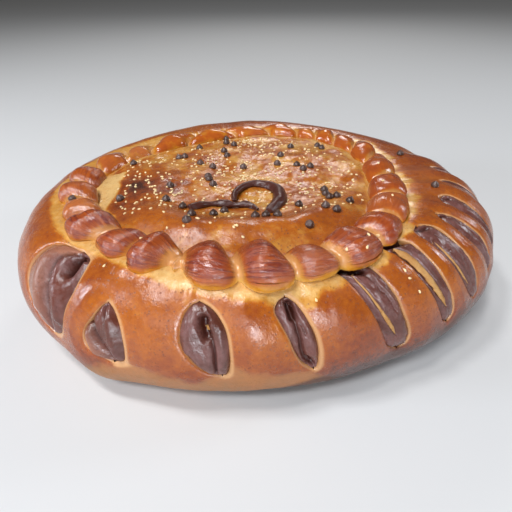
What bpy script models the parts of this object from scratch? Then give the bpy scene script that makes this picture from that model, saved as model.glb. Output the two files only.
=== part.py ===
"""Round filled sweet loaf with a twisted border on top.

A golden dough wraps a layer of cocoa dough, which wraps a core of plain dough.  Slits cut through
the golden dough all round the side let the cocoa dough swell out in two lips, and the furrow
between the lips shows the plain core.  A twisted strip of dough lies in a ring on the top, round a
curl of cocoa dough, chocolate drops and sesame seeds.

Metres, +Z up.  The origin is the centre of the flat base.  The front of the loaf faces -Y, and
azimuths run from the front towards +X.
"""

import math
import random

import bmesh
import bpy
from mathutils import Matrix, Vector
from mathutils.bvhtree import BVHTree

MM = 0.001

# Profile of the loaf: flat base, two quarter ellipses up the side, flat crown.
BASE_RADIUS = 118.8 * MM
EQUATOR_RADIUS = 160.0 * MM
CROWN_RADIUS = 118.6 * MM
EQUATOR_HEIGHT = 38.5 * MM
CROWN_HEIGHT = 85.5 * MM
SIDE_REACH = EQUATOR_RADIUS - CROWN_RADIUS

# The outline is not quite round: (waves round the loaf, cosine part, sine part).
OUTLINE_WAVES = ((2, 0.049, 0.008), (3, 0.019, -0.031), (4, 0.009, -0.002))

# Stations run from 0 at the middle of the base to 1 at the middle of the crown.
FOOT_STATION = 1 / 6
BROW_STATION = 2 / 3

# Layers, measured inwards from the outside.
GOLDEN_THICKNESS = 5.0 * MM
COCOA_THICKNESS = 6.7 * MM
GAP = 0.3 * MM
CROWN_DROP = 8.0 * MM

# The ring of twisted dough.
BORDER_CENTRE = Vector((-8.3 * MM, -13.9 * MM))
BORDER_RADIUS = 105.5 * MM
BORDER_HEIGHT = 84.5 * MM
BORDER_HALF_WIDTH = 13.6 * MM
BORDER_HALF_HEIGHT = 10.8 * MM
BORDER_WAVES = ((2, -0.001, 0.023), (3, -0.052, 0.004))
BORDER_BACK_SIZE = 0.72
BORDER_SLANT = 0.12
# Azimuth in degrees of the middle of each swelling between two twists.
SWELLINGS = (-111, -95, -75, -56, -42, -29, -18, -7, 7, 21, 34, 48, 61, 74, 88, 102, 117, 130, 141,
             152, 164, 176, 188, 200, 216, 234)
NECK_AT_FRONT = 0.40
NECK_AT_SIDE = 0.58
NECK_SAG = 5.0 * MM

# Relief of the crown, in millimetres: where the middle is, how far it reaches, how high it stands.
CROWN_SWELLS = (
    (-66, -18, 30, 40, 4.0),
    (-97, -42, 15, 22, -3.0),
    (4, -42, 34, 22, -2.5),
    (38, 18, 34, 26, 2.0),
    (-30, 38, 40, 26, 1.5),
    (60, -30, 22, 24, -1.5),
)
FRONT_RIDGE_RADIUS = 75.0 * MM
FRONT_RIDGE_WIDTH = 13.0 * MM
FRONT_RIDGE_HEIGHT = 6.5 * MM
FRONT_RIDGE_HALF_TURN = 58.0
BED_DEPTH = 4.5 * MM
BED_HALF_WIDTH = 11.0 * MM

# Relief of the side: azimuth and latitude of the middle, how many degrees it reaches round and up,
# how many millimetres it stands out.
SIDE_SWELLS = (
    (-36, -38, 6, 26, 3.5),
    (-86, 0, 16, 40, 2.0),
    (18, -55, 12, 24, 1.5),
    (48, -40, 12, 24, 1.0),
)

# Each slit: azimuth of its top and bottom end, latitude of its top and bottom end, half its width
# in millimetres, and where its furrow lies, from -1 at its left edge to 1 at its right edge.  The
# latitude is 90 at the crown, 0 at the widest point and -90 at the base.
SLITS = (
    (-11.0, -9.5, 52, -9, 12.5, 0.25),
    (-31.0, -30.6, 43, -5, 10.5, 0.05),
    (-46.5, -48.0, 68, -3, 23.0, 0.20),
    (5.9, 11.6, 53, -13, 8.0, 0.10),
    (21.0, 33.6, 90, -22, 9.6, -0.40),
    (35.5, 46.9, 90, -8, 6.8, -0.45),
    (47.6, 57.4, 88, -5, 7.6, -0.60),
    (59.0, 65.0, 86, 0, 6.6, None),
    (70.0, 71.5, 88, 4, 6.0, None),
    (82.0, 81.5, 86, 2, 4.8, None),
    (93.5, 93.0, 82, 0, 4.5, None),
    (107.0, 105.5, 78, 0, 5.0, None),
    (125.0, 124.0, 44, -8, 8.0, 0.20),
    (147.0, 146.0, 38, -8, 9.0, None),
    (169.0, 170.0, 36, -10, 9.0, None),
    (191.0, 190.0, 38, -8, 9.0, 0.10),
    (213.0, 212.0, 36, -8, 9.0, None),
    (235.0, 236.0, 38, -8, 9.0, None),
    (258.0, 258.0, 36, -8, 10.0, None),
    (281.0, 280.0, 26, -8, 8.0, None),
)
SLIT_DIP = 2.5 * MM
SLIT_STEPS = 4
SLIT_NARROWING = 0.62
WHOLE_WIDTH = (-1, 1)
LIP_CREST = -0.8 * MM
LIP_FOOT = 2.4 * MM
LIP_INSET = 0.5 * MM
LIP_INSET_SHARE = 0.05
LIP_END = 1.5 * MM
FURROW_HALF_WIDTH = 0.16
FURROW_END = 5.0 * MM
THINNEST = 0.2 * MM
CLEAR_THROUGH = 5.0 * MM
CORE_RIDGE_DEPTH = 4.6 * MM

# The cocoa curl on the crown: (x, y, radius) of the strip's centreline, in millimetres.
HOOK_PATH = ((-13.5, -48, 3.2), (-13.5, -37, 3.6), (-8, -27, 4.0), (3, -25, 4.2), (13, -31, 4.6),
             (19, -41, 5.0), (19, -53, 4.6), (15, -62, 4.0), (11, -68, 3.0))
TAIL_PATH = ((-39, -61, 2.6), (-31, -56, 3.4), (-20, -54, 3.4), (-10, -54, 3.2), (-3, -56, 2.8),
             (1, -61, 2.2))
CURL_STANDS = 1.5 * MM

# Chocolate drops, in millimetres: (x, y) of the first, step to the next, how many.
DROP_TRAILS = (
    (-24, 72, 0, 0, 1), (-22, 56, 6, -5, 2), (-23, 38, 2, -9, 2), (-58, 23, 5, 2, 2),
    (-41, 12, 10, -6, 2), (-33, -13, 2, -6, 3), (-56, -31, 1, -21, 2), (-45, -60, 0, 0, 1),
    (-37, -75, -1, -9, 2), (-25, -69, 6, 5, 2), (1, -77, 6, -1, 3), (30, -87, 0, 0, 1),
    (42, -68, 7, -4, 2), (59, -55, 0, 0, 1), (28, -56, 0, 0, 1), (46, -34, 1, -7, 3),
    (53, -47, 0, 0, 1), (30, 45, 0, 0, 1), (20, 23, -3, -14, 2), (32, 6, 4, -8, 2),
    (42, 4, 0, 0, 1), (54, 53, 2, -8, 2), (-90, 13, 0, 0, 1), (-86, -47, 0, 0, 1),
    (-8, 6, 0, 0, 1), (-45, 47, 0, 0, 1), (114, 27, 0, 0, 1), (121, -31, 0, 0, 1),
)
DROP_RADIUS = 3.1 * MM
DROP_TIP_RADIUS = 0.9 * MM
DROP_HEIGHT = 4.5 * MM
DROP_SUNK = 0.9 * MM
DROP_WANDER = 0.8
DROP_TILT = 16.0
DROP_ON_BORDER_AZIMUTH = -72.0

# Sesame seeds.
SEED_SIZE = (1.65 * MM, 1.0 * MM, 0.65 * MM)
SEEDS_MODELLED = 24
SEED_SPREAD = 88.0 * MM
SEED_CLEAR_OF_CURL = 9.0 * MM
SEED_DRAW = 2207

OUTER_MESH = (46, 22)
INNER_MESH = (24, 12)
BORDER_MESH = (104, 8)
SCRAP_POINTS = 12

GOLDEN_COLOUR = (0.48, 0.19, 0.05, 1.0)
COCOA_COLOUR = (0.12, 0.065, 0.06, 1.0)
CORE_COLOUR = (0.75, 0.52, 0.27, 1.0)
BORDER_COLOUR = (0.42, 0.12, 0.035, 1.0)


def clear_scene():
    for thing in list(bpy.data.objects):
        bpy.data.objects.remove(thing, do_unlink=True)


def new_collection(name):
    collection = bpy.data.collections.new(name)
    bpy.context.scene.collection.children.link(collection)
    return collection


def dough_material(name, colour, roughness):
    material = bpy.data.materials.new(name)
    material.use_nodes = True
    shader = material.node_tree.nodes["Principled BSDF"]
    shader.inputs["Base Color"].default_value = colour
    shader.inputs["Roughness"].default_value = roughness
    shader.inputs["Metallic"].default_value = 0.0
    return material


def object_from(shape, name, collection):
    """The finished bmesh as an object in the collection."""
    mesh = bpy.data.meshes.new(name)
    shape.to_mesh(mesh)
    shape.free()
    made = bpy.data.objects.new(name, mesh)
    collection.objects.link(made)
    return made


def waves(angle, parts):
    """1 plus the sum of the waves at this angle from +X."""
    total = 1.0
    for count, cosine, sine in parts:
        total += cosine * math.cos(count * angle) + sine * math.sin(count * angle)
    return total


def profile(station):
    """(radius, height, outward, upward) of the round loaf; the last two are its normal."""
    if station <= FOOT_STATION:
        return BASE_RADIUS * station / FOOT_STATION, 0.0, 0.0, -1.0
    if station >= BROW_STATION:
        return CROWN_RADIUS * (1 - station) / (1 - BROW_STATION), CROWN_HEIGHT, 0.0, 1.0
    latitude = math.radians(latitude_of(station))
    end_radius = CROWN_RADIUS if latitude > 0 else BASE_RADIUS
    rise = CROWN_HEIGHT - EQUATOR_HEIGHT if latitude > 0 else EQUATOR_HEIGHT
    reach = EQUATOR_RADIUS - end_radius
    radius = end_radius + reach * math.cos(latitude)
    height = EQUATOR_HEIGHT + rise * math.sin(latitude)
    normal = Vector((math.cos(latitude) / reach, math.sin(latitude) / rise)).normalized()
    return radius, height, normal.x, normal.y


def latitude_of(station):
    middle = (FOOT_STATION + BROW_STATION) / 2
    return 90 * (station - middle) / (BROW_STATION - middle)


def station_of(latitude):
    middle = (FOOT_STATION + BROW_STATION) / 2
    return middle + (BROW_STATION - middle) * latitude / 90


def turn_between(azimuth, other):
    """The signed turn in degrees from other to azimuth."""
    return (azimuth - other + 180) % 360 - 180


def border_place(x, y):
    """(distance from the border's centreline, distance from its centre, azimuth round it)."""
    across = Vector((x, y)) - BORDER_CENTRE
    azimuth = math.degrees(math.atan2(across.x, -across.y))
    ring = BORDER_RADIUS * waves(math.radians(azimuth - 90), BORDER_WAVES)
    return across.length - ring, across.length, azimuth


def crown_relief(x, y):
    """How far the top surface stands above the plain crown."""
    off_ring, from_centre, azimuth = border_place(x, y)
    height = -BED_DEPTH * math.exp(-((off_ring / BED_HALF_WIDTH) ** 2))
    along = (azimuth / FRONT_RIDGE_HALF_TURN) ** 4
    across = ((from_centre - FRONT_RIDGE_RADIUS) / FRONT_RIDGE_WIDTH) ** 2
    height += FRONT_RIDGE_HEIGHT * math.exp(-along - across)
    for middle_x, middle_y, reach_x, reach_y, stands in CROWN_SWELLS:
        east = (x / MM - middle_x) / reach_x
        north = (y / MM - middle_y) / reach_y
        height += stands * MM * math.exp(-east * east - north * north)
    return height


def side_relief(azimuth, latitude):
    """How far the side stands out from the plain one."""
    height = 0.0
    for middle, level, reach_round, reach_up, stands in SIDE_SWELLS:
        east = turn_between(azimuth, middle) / reach_round
        north = (latitude - level) / reach_up
        height += stands * MM * math.exp(-east * east - north * north)
    return height


def slit_dip(azimuth, latitude, radius):
    """How deep the golden dough is drawn in beside a slit."""
    deepest = 0.0
    for top_azimuth, bottom_azimuth, top, bottom, half_width, _ in SLITS:
        along = (2 * latitude - top - bottom) / (top - bottom)
        if abs(along) > 1.2:
            continue
        middle = bottom_azimuth + (top_azimuth - bottom_azimuth) * (along + 1) / 2
        across = math.radians(turn_between(azimuth, middle)) * radius / (half_width * MM)
        fade = min(1.0, (1.2 - abs(along)) / 0.4)
        deepest = max(deepest, SLIT_DIP * fade * math.exp(-(across / 1.3) ** 2))
    return deepest


def loaf_point(azimuth, station, depth, under_crown=False):
    """A point at this depth below the loaf's surface.

    Under the crown the surface is the smooth one that the inner layers follow, which lies lower
    so that the relief of the top stays in the golden dough.
    """
    radius, height, outward, upward = profile(station)
    turn = math.radians(azimuth)
    radius *= waves(turn - math.pi / 2, OUTLINE_WAVES)
    level = max(0.0, upward) ** 2
    if under_crown:
        depth += CROWN_DROP * level
    elif station > FOOT_STATION:
        depth -= crown_relief(radius * math.sin(turn), -radius * math.cos(turn)) * level
        if station < BROW_STATION:
            latitude = latitude_of(station)
            depth += slit_dip(azimuth, latitude, radius) - side_relief(azimuth, latitude)
    reach = radius - depth * outward
    return Vector((reach * math.sin(turn), -reach * math.cos(turn), height - depth * upward))


def loaf_body(name, mesh_size, depth, under_crown, collection):
    """A closed loaf shape whose surface lies at this depth."""
    columns, rows = mesh_size
    shape = bmesh.new()
    bmesh.ops.create_uvsphere(shape, u_segments=columns, v_segments=rows, radius=1.0)
    for vertex in shape.verts:
        azimuth = math.degrees(math.atan2(vertex.co.x, -vertex.co.y))
        station = math.acos(max(-1.0, min(1.0, -vertex.co.z))) / math.pi
        vertex.co = loaf_point(azimuth, station, depth, under_crown)
    bmesh.ops.triangulate(shape, faces=shape.faces, quad_method="FIXED")
    return object_from(shape, name, collection)


def slit_fullness(along):
    """The slit's width, as a share of its greatest, on straight edges between its steps."""
    nearest = max(0, min(SLIT_STEPS - 1, math.floor((along + 1) / 2 * SLIT_STEPS)))
    ends = [2 * (nearest + step) / SLIT_STEPS - 1 for step in (0, 1)]
    widths = [1 - SLIT_NARROWING * abs(end) ** 3 for end in ends]
    share = (along - ends[0]) / (ends[1] - ends[0])
    return widths[0] + (widths[1] - widths[0]) * share


def slit_block(name, slit, part, depths, inset, shortened, crests, collection):
    """A block bent along a slit.

    part is the stretch of the slit's width that it takes, depths are those of its lid and floor,
    inset is how far its sides keep from that stretch and shortened how far its ends keep from the
    slit's ends.  Its lid is level, or has one or two crests.
    """
    top_azimuth, bottom_azimuth, top, bottom, half_width, _ = slit
    shape = bmesh.new()
    bmesh.ops.create_cube(shape, size=2.0)
    lengthways = [e for e in shape.edges if abs(e.verts[0].co.x - e.verts[1].co.x) > 1]
    bmesh.ops.subdivide_edges(shape, edges=lengthways, cuts=SLIT_STEPS - 1)
    if crests:
        sideways = [e for e in shape.edges if abs(e.verts[0].co.y - e.verts[1].co.y) > 1]
        bmesh.ops.subdivide_edges(shape, edges=sideways, cuts=2 * crests - 1)
    half_length = SIDE_REACH * math.radians(top - bottom) / 2
    for vertex in shape.verts:
        along = min(1 - shortened / half_length, max(shortened / half_length - 1, vertex.co.x))
        station = station_of((top + bottom + along * (top - bottom)) / 2)
        middle = bottom_azimuth + (top_azimuth - bottom_azimuth) * (along + 1) / 2
        width = half_width * MM * slit_fullness(along)
        stretch = (part[1] - part[0]) / 2 * width - inset
        offset = (part[0] + part[1]) / 2 * width + vertex.co.y * max(stretch, THINNEST)
        radius = profile(station)[0] * waves(math.radians(middle - 90), OUTLINE_WAVES)
        azimuth = middle + math.degrees(offset / radius)
        lid, floor = depths
        if vertex.co.z < 0:
            vertex.co = loaf_point(azimuth, station, floor, under_crown=True)
            continue
        if crests:
            across = vertex.co.y
            valley = math.cos(math.pi * across) ** 2 if crests == 2 else across ** 2
            lid += (LIP_FOOT - LIP_CREST) * max(valley, along ** 2)
        vertex.co = loaf_point(azimuth, station, lid)
    bmesh.ops.reverse_faces(shape, faces=shape.faces)
    bmesh.ops.triangulate(shape, faces=shape.faces, quad_method="FIXED")
    return object_from(shape, name, collection)


def drop_scraps(mesh):
    """Keeps only the largest connected piece of the mesh."""
    shape = bmesh.new()
    shape.from_mesh(mesh)
    unseen = set(shape.verts)
    pieces = []
    while unseen:
        piece = set()
        edge_of_piece = [unseen.pop()]
        while edge_of_piece:
            vertex = edge_of_piece.pop()
            piece.add(vertex)
            neighbours = {edge.other_vert(vertex) for edge in vertex.link_edges} & unseen
            unseen -= neighbours
            edge_of_piece.extend(neighbours)
        pieces.append(piece)
    pieces.sort(key=len)
    for scrap in pieces[:-1]:
        if len(scrap) < SCRAP_POINTS:
            bmesh.ops.delete(shape, geom=list(scrap), context="VERTS")
    shape.to_mesh(mesh)
    shape.free()


def combine(target, operation, operand, solver="EXACT"):
    """Applies one Boolean to the target and removes what it was combined with."""
    modifier = target.modifiers.new("combine", "BOOLEAN")
    modifier.operation = operation
    modifier.solver = solver
    if isinstance(operand, bpy.types.Collection):
        modifier.operand_type = "COLLECTION"
        modifier.collection = operand
        used = list(operand.objects)
    else:
        modifier.object = operand
        used = [operand]
    bpy.context.view_layer.update()
    graph = bpy.context.evaluated_depsgraph_get()
    combined = bpy.data.meshes.new_from_object(target.evaluated_get(graph))
    plain = target.data
    target.modifiers.clear()
    target.data = combined
    bpy.data.meshes.remove(plain)
    for helper in used:
        bpy.data.objects.remove(helper, do_unlink=True)
    drop_scraps(target.data)


def finish(made, material):
    made.data.materials.clear()
    made.data.materials.append(material)
    made.data.shade_smooth()
    made.data.set_sharp_from_angle(angle=math.radians(35))


def build_golden_dough(loaf, cutters):
    """The outer wrapping, with a slit cut for each swelling of cocoa dough."""
    golden = loaf_body("golden_dough", OUTER_MESH, 0.0, False, loaf)
    hollow = loaf_body("golden_hollow", INNER_MESH, GOLDEN_THICKNESS, True, cutters)
    combine(golden, "DIFFERENCE", hollow)
    depths = (-6 * MM, GOLDEN_THICKNESS + CLEAR_THROUGH)
    for number, slit in enumerate(SLITS):
        slit_block(f"opening_{number}", slit, WHOLE_WIDTH, depths, 0.0, 0.0, 0, cutters)
    combine(golden, "DIFFERENCE", cutters)
    return golden


def furrow_part(slit):
    """The stretch of the slit's width that its furrow takes."""
    return slit[-1] - FURROW_HALF_WIDTH, slit[-1] + FURROW_HALF_WIDTH


def build_cocoa_dough(loaf, cutters):
    """The dark layer, with lips that swell out of each slit and furrows down to the core."""
    outside = GOLDEN_THICKNESS + GAP
    inside = outside + COCOA_THICKNESS
    cocoa = loaf_body("cocoa_dough", INNER_MESH, outside, True, loaf)
    hollow = loaf_body("cocoa_hollow", INNER_MESH, inside, True, cutters)
    combine(cocoa, "DIFFERENCE", hollow)
    depths = (LIP_CREST, inside - 1.5 * MM)
    for number, slit in enumerate(SLITS):
        lips = 1 if slit[-1] is None else 2
        inset = LIP_INSET + LIP_INSET_SHARE * slit[4] * MM
        slit_block(f"lips_{number}", slit, WHOLE_WIDTH, depths, inset, LIP_END, lips, cutters)
    combine(cocoa, "UNION", cutters)
    depths = (-4 * MM, inside + CLEAR_THROUGH)
    for number, slit in enumerate(SLITS):
        if slit[-1] is not None:
            part = furrow_part(slit)
            slit_block(f"furrow_{number}", slit, part, depths, 0.0, FURROW_END, 0, cutters)
    combine(cocoa, "DIFFERENCE", cutters)
    return cocoa


def build_inner_dough(loaf, cutters):
    """The plain core, which rises into each furrow."""
    outside = GOLDEN_THICKNESS + COCOA_THICKNESS + 2 * GAP
    core = loaf_body("inner_dough", INNER_MESH, outside, True, loaf)
    depths = (CORE_RIDGE_DEPTH, outside + CLEAR_THROUGH)
    end = FURROW_END + 2 * GAP
    for number, slit in enumerate(SLITS):
        if slit[-1] is not None:
            part = furrow_part(slit)
            slit_block(f"ridge_{number}", slit, part, depths, 1.5 * GAP, end, 0, cutters)
    combine(core, "UNION", cutters)
    return core


def border_bed(cutters):
    """The golden dough's outside, one gap higher, which what lies on the top is cut to."""
    return loaf_body("bed", OUTER_MESH, -GAP, False, cutters)


def swelling_at(turns):
    """(azimuth, size of the strip) after this many swellings, from the middle of the first."""
    number = math.floor(turns)
    share = turns - number
    here = SWELLINGS[number % len(SWELLINGS)]
    step = (SWELLINGS[(number + 1) % len(SWELLINGS)] - here) % 360
    azimuth = here + share * step
    front = (1 + math.cos(math.radians(azimuth))) / 2
    size = BORDER_BACK_SIZE + (1 - BORDER_BACK_SIZE) * front
    neck = NECK_AT_SIDE + (NECK_AT_FRONT - NECK_AT_SIDE) * front ** 3
    swell = abs(math.cos(math.pi * share)) ** 0.6
    return azimuth, (neck + (1 - neck) * swell) * size


def border_ring(azimuth):
    """The point of the strip's centreline at this azimuth."""
    turn = math.radians(azimuth)
    ring = BORDER_RADIUS * waves(turn - math.pi / 2, BORDER_WAVES)
    return Vector((BORDER_CENTRE.x + ring * math.sin(turn),
                   BORDER_CENTRE.y - ring * math.cos(turn), BORDER_HEIGHT))


def build_border(loaf, cutters):
    """The twisted strip, swollen between its twists, laid in a ring on its bed."""
    columns, sides = BORDER_MESH
    bpy.ops.mesh.primitive_torus_add(major_radius=BORDER_RADIUS, minor_radius=BORDER_HALF_WIDTH,
                                     major_segments=columns, minor_segments=sides)
    border = bpy.context.object
    border.name = "twisted_border"
    for collection in border.users_collection:
        collection.objects.unlink(border)
    loaf.objects.link(border)
    for vertex in border.data.vertices:
        outward = (vertex.co.xy.length - BORDER_RADIUS) / BORDER_HALF_WIDTH
        upward = vertex.co.z / BORDER_HALF_WIDTH
        turns = math.atan2(vertex.co.y, vertex.co.x) / (2 * math.pi) * len(SWELLINGS)
        azimuth, size = swelling_at(turns + BORDER_SLANT * outward)
        turn = math.radians(azimuth)
        middle = border_ring(azimuth)
        radial = Vector((math.sin(turn), -math.cos(turn), 0))
        vertex.co = middle + radial * outward * BORDER_HALF_WIDTH * size
        vertex.co.z += upward * BORDER_HALF_HEIGHT * size - NECK_SAG * (1 - size)
    combine(border, "DIFFERENCE", border_bed(cutters))
    return border


def build_curl(name, path, loaf, cutters):
    """A tapered strip of cocoa dough that lies along the path on the crown."""
    curve = bpy.data.curves.new(name, "CURVE")
    curve.dimensions = "3D"
    curve.bevel_depth = 1.0
    curve.bevel_resolution = 1
    curve.resolution_u = 2
    curve.use_fill_caps = True
    spline = curve.splines.new("NURBS")
    spline.points.add(len(path) - 1)
    spline.use_endpoint_u = True
    for point, (x, y, radius) in zip(spline.points, path):
        place = Vector((x * MM, y * MM))
        height = CROWN_HEIGHT + crown_relief(place.x, place.y) + CURL_STANDS
        point.co = (place.x, place.y, height, 1.0)
        point.radius = radius * MM
    tube = bpy.data.objects.new(name + "_tube", curve)
    cutters.objects.link(tube)
    bpy.context.view_layer.update()
    graph = bpy.context.evaluated_depsgraph_get()
    mesh = bpy.data.meshes.new_from_object(tube.evaluated_get(graph))
    shape = bmesh.new()
    shape.from_mesh(mesh)
    bmesh.ops.remove_doubles(shape, verts=shape.verts, dist=0.01 * MM)
    curl = object_from(shape, name, loaf)
    bpy.data.objects.remove(tube, do_unlink=True)
    combine(curl, "DIFFERENCE", border_bed(cutters))
    return curl


def surface_finder(made):
    """A function that gives the height and the normal of the object's top at x, y."""
    bpy.context.view_layer.update()
    tree = BVHTree.FromObject(made, bpy.context.evaluated_depsgraph_get())

    def find(x, y):
        hit, normal, _, _ = tree.ray_cast(Vector((x, y, 1.0)), Vector((0, 0, -1)))
        return hit, normal

    return find


def drop_places(draw):
    """(x, y) of each chocolate drop."""
    for x, y, step_x, step_y, count in DROP_TRAILS:
        for number in range(count):
            wander_x = draw.uniform(-DROP_WANDER, DROP_WANDER)
            wander_y = draw.uniform(-DROP_WANDER, DROP_WANDER)
            yield (x + step_x * number + wander_x) * MM, (y + step_y * number + wander_y) * MM


def add_drop(name, hit, normal, draw, toppings):
    """A cone-shaped chocolate drop, its foot sunk in the dough."""
    shape = bmesh.new()
    bmesh.ops.create_cone(shape, cap_ends=True, segments=6, radius1=DROP_RADIUS,
                          radius2=DROP_TIP_RADIUS, depth=DROP_HEIGHT)
    lift = Matrix.Translation((0, 0, DROP_HEIGHT / 2 - DROP_SUNK))
    spin = Matrix.Rotation(math.radians(draw.uniform(0, 360)), 4, "Z")
    lean = Matrix.Rotation(math.radians(draw.uniform(-DROP_TILT, DROP_TILT)), 4, "X")
    stand = Vector((0, 0, 1)).rotation_difference(normal).to_matrix().to_4x4()
    shape.transform(Matrix.Translation(hit) @ stand @ spin @ lean @ lift)
    object_from(shape, name, toppings)


def seed_places(draw, count):
    """(x, y) of sesame seeds scattered inside the border, clear of the cocoa curl."""
    strip = [Vector((x * MM, y * MM)) for x, y, _ in HOOK_PATH + TAIL_PATH]
    made = 0
    while made < count:
        distance = SEED_SPREAD * draw.random() ** 0.6
        turn = draw.uniform(0, 2 * math.pi)
        spot = BORDER_CENTRE + Vector((distance * math.sin(turn), -distance * math.cos(turn)))
        if border_place(spot.x, spot.y)[0] > -BORDER_HALF_WIDTH - 3 * MM:
            continue
        if min((spot - point).length for point in strip) < SEED_CLEAR_OF_CURL:
            continue
        made += 1
        yield spot.x, spot.y


def add_seed(name, hit, normal, draw, toppings):
    """A flat oval sesame seed, half sunk."""
    shape = bmesh.new()
    bmesh.ops.create_uvsphere(shape, u_segments=5, v_segments=3, radius=1.0)
    size = Matrix.Diagonal((*SEED_SIZE, 1.0))
    spin = Matrix.Rotation(math.radians(draw.uniform(0, 180)), 4, "Z")
    stand = Vector((0, 0, 1)).rotation_difference(normal).to_matrix().to_4x4()
    shape.transform(Matrix.Translation(hit) @ stand @ spin @ size)
    object_from(shape, name, toppings)


def add_toppings(golden, border, toppings):
    """Chocolate drops and sesame seeds, fused to the dough that they lie on."""
    draw = random.Random(SEED_DRAW)
    find = surface_finder(golden)
    for number, (x, y) in enumerate(drop_places(draw)):
        add_drop(f"drop_{number}", *find(x, y), draw, toppings)
    for number, (x, y) in enumerate(seed_places(draw, SEEDS_MODELLED)):
        add_seed(f"seed_{number}", *find(x, y), draw, toppings)
    combine(golden, "UNION", toppings, solver="MANIFOLD")
    place = border_ring(DROP_ON_BORDER_AZIMUTH)
    add_drop("border_drop", *surface_finder(border)(place.x, place.y), draw, toppings)
    combine(border, "UNION", toppings, solver="MANIFOLD")


def main():
    clear_scene()
    loaf = new_collection("filled_sweet_loaf")
    cutters = new_collection("cutters")
    toppings = new_collection("toppings")
    golden = build_golden_dough(loaf, cutters)
    cocoa = build_cocoa_dough(loaf, cutters)
    core = build_inner_dough(loaf, cutters)
    border = build_border(loaf, cutters)
    hook = build_curl("cocoa_hook", HOOK_PATH, loaf, cutters)
    tail = build_curl("cocoa_tail", TAIL_PATH, loaf, cutters)
    add_toppings(golden, border, toppings)
    for spare in (cutters, toppings):
        bpy.data.collections.remove(spare)

    golden_material = dough_material("golden_crust", GOLDEN_COLOUR, 0.3)
    cocoa_material = dough_material("cocoa_crust", COCOA_COLOUR, 0.45)
    finish(golden, golden_material)
    finish(cocoa, cocoa_material)
    finish(core, dough_material("plain_crumb", CORE_COLOUR, 0.6))
    finish(border, dough_material("border_crust", BORDER_COLOUR, 0.25))
    finish(hook, cocoa_material)
    finish(tail, cocoa_material)


main()
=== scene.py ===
"""Looks of the round filled sweet loaf: crust, cocoa lips, cream strips, twisted border, toppings.

Every shape follows one form, the loaf's profile turned round an uneven outline.  A place on it is
an azimuth in degrees, from the front (-Y) towards +X, a station from 0 at the middle of the base to
1 at the middle of the crown, and a depth below the surface.
"""

import logging
import math
import random
from contextlib import contextmanager
from dataclasses import dataclass, field
from enum import Enum
from typing import Iterator, Optional, Sequence, Union

import bmesh
import bpy
import numpy as np
from bpy.types import Material, Mesh, Node, NodeTree, Object
from mathutils import Matrix, Vector
from mathutils.bvhtree import BVHTree


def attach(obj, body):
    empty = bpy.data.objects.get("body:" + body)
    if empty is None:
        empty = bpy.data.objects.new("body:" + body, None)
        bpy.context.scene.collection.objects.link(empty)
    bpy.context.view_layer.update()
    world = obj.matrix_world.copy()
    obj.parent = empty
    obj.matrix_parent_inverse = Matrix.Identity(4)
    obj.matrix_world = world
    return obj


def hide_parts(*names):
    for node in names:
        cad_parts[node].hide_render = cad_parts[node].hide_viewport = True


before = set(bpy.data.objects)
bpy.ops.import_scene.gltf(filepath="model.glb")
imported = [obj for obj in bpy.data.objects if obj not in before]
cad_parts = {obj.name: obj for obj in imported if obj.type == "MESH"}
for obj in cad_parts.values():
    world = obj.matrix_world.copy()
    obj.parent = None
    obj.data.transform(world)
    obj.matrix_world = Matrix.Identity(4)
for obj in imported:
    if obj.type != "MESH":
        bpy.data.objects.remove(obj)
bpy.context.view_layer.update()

MM = 0.001
LOG = logging.getLogger("sweet_loaf")

Array = np.ndarray
Colour = tuple[float, float, float]
Pair = tuple[float, float]
Waves = tuple[tuple[int, float, float], ...]
Layers = tuple[tuple[float, float, int], ...]
Socket = bpy.types.NodeSocket
Number = Union[float, Socket]

# Odd numbers that scatter the values of neighbouring cells and of different patterns.
CELL_FACTORS = (73856093, 19349663, 83492791)
SEED_FACTOR = 7919
MIX_FACTOR = 1274126177
SEED_SHIFT = 0.37


class Slot(Enum):
    """The record's material slots."""

    GOLDEN = "golden_crust"
    COCOA = "cocoa_crust"
    CRUMB = "plain_crumb"
    BORDER = "border_crust"


# ---- numbers over arrays


def smooth_step(value: Array, low: Array, high: Array) -> Array:
    """Ease from 0 where the value is at low or below to 1 where it is at high or above."""
    share = np.clip((value - low) / (high - low), 0.0, 1.0)
    return share * share * (3 - 2 * share)


def turn_between(azimuth: Array, other: Array) -> Array:
    """Give the turn from the other azimuths to these, from -180 to 180 degrees."""
    return (azimuth - other + 180) % 360 - 180


def hump(value: Array, middle: float, reach: float) -> Array:
    """Give a smooth hump: 1 at its middle, 0.37 at its reach and next to nothing at twice that."""
    return np.exp(-(((value - middle) / reach) ** 2))


def lumps(points: Array, size: float, seed: int) -> Array:
    """Give smooth random numbers in space, for the unevenness of dough.

    Args:
        points: Places, one row each, in metres.
        size: Distance between two lumps, in metres.
        seed: Which pattern.

    Returns:
        One number from -1 to 1 for each place.
    """
    spots = points / size + SEED_SHIFT * seed
    cell = np.floor(spots).astype(np.int64)
    share = smooth_step(spots - cell, 0.0, 1.0)
    total = np.zeros(len(points))
    for corner in range(8):
        step = np.array([corner & 1, corner >> 1 & 1, corner >> 2 & 1])
        mixed = np.bitwise_xor.reduce((cell + step) * CELL_FACTORS, axis=1) ^ seed * SEED_FACTOR
        mixed = (mixed ^ mixed >> 13) * MIX_FACTOR & 0xFFFFFFFF
        value = ((mixed ^ mixed >> 15) & 0xFFFF) / 32767.5 - 1
        total += value * np.prod(np.where(step, share, 1 - share), axis=1)
    return total


def layered(points: Array, layers: Layers) -> Array:
    """Add up layers of lumps, each with its strength, size in millimetres and pattern."""
    return sum(share * lumps(points, size * MM, seed) for share, size, seed in layers)


# ---- the loaf's form


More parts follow.
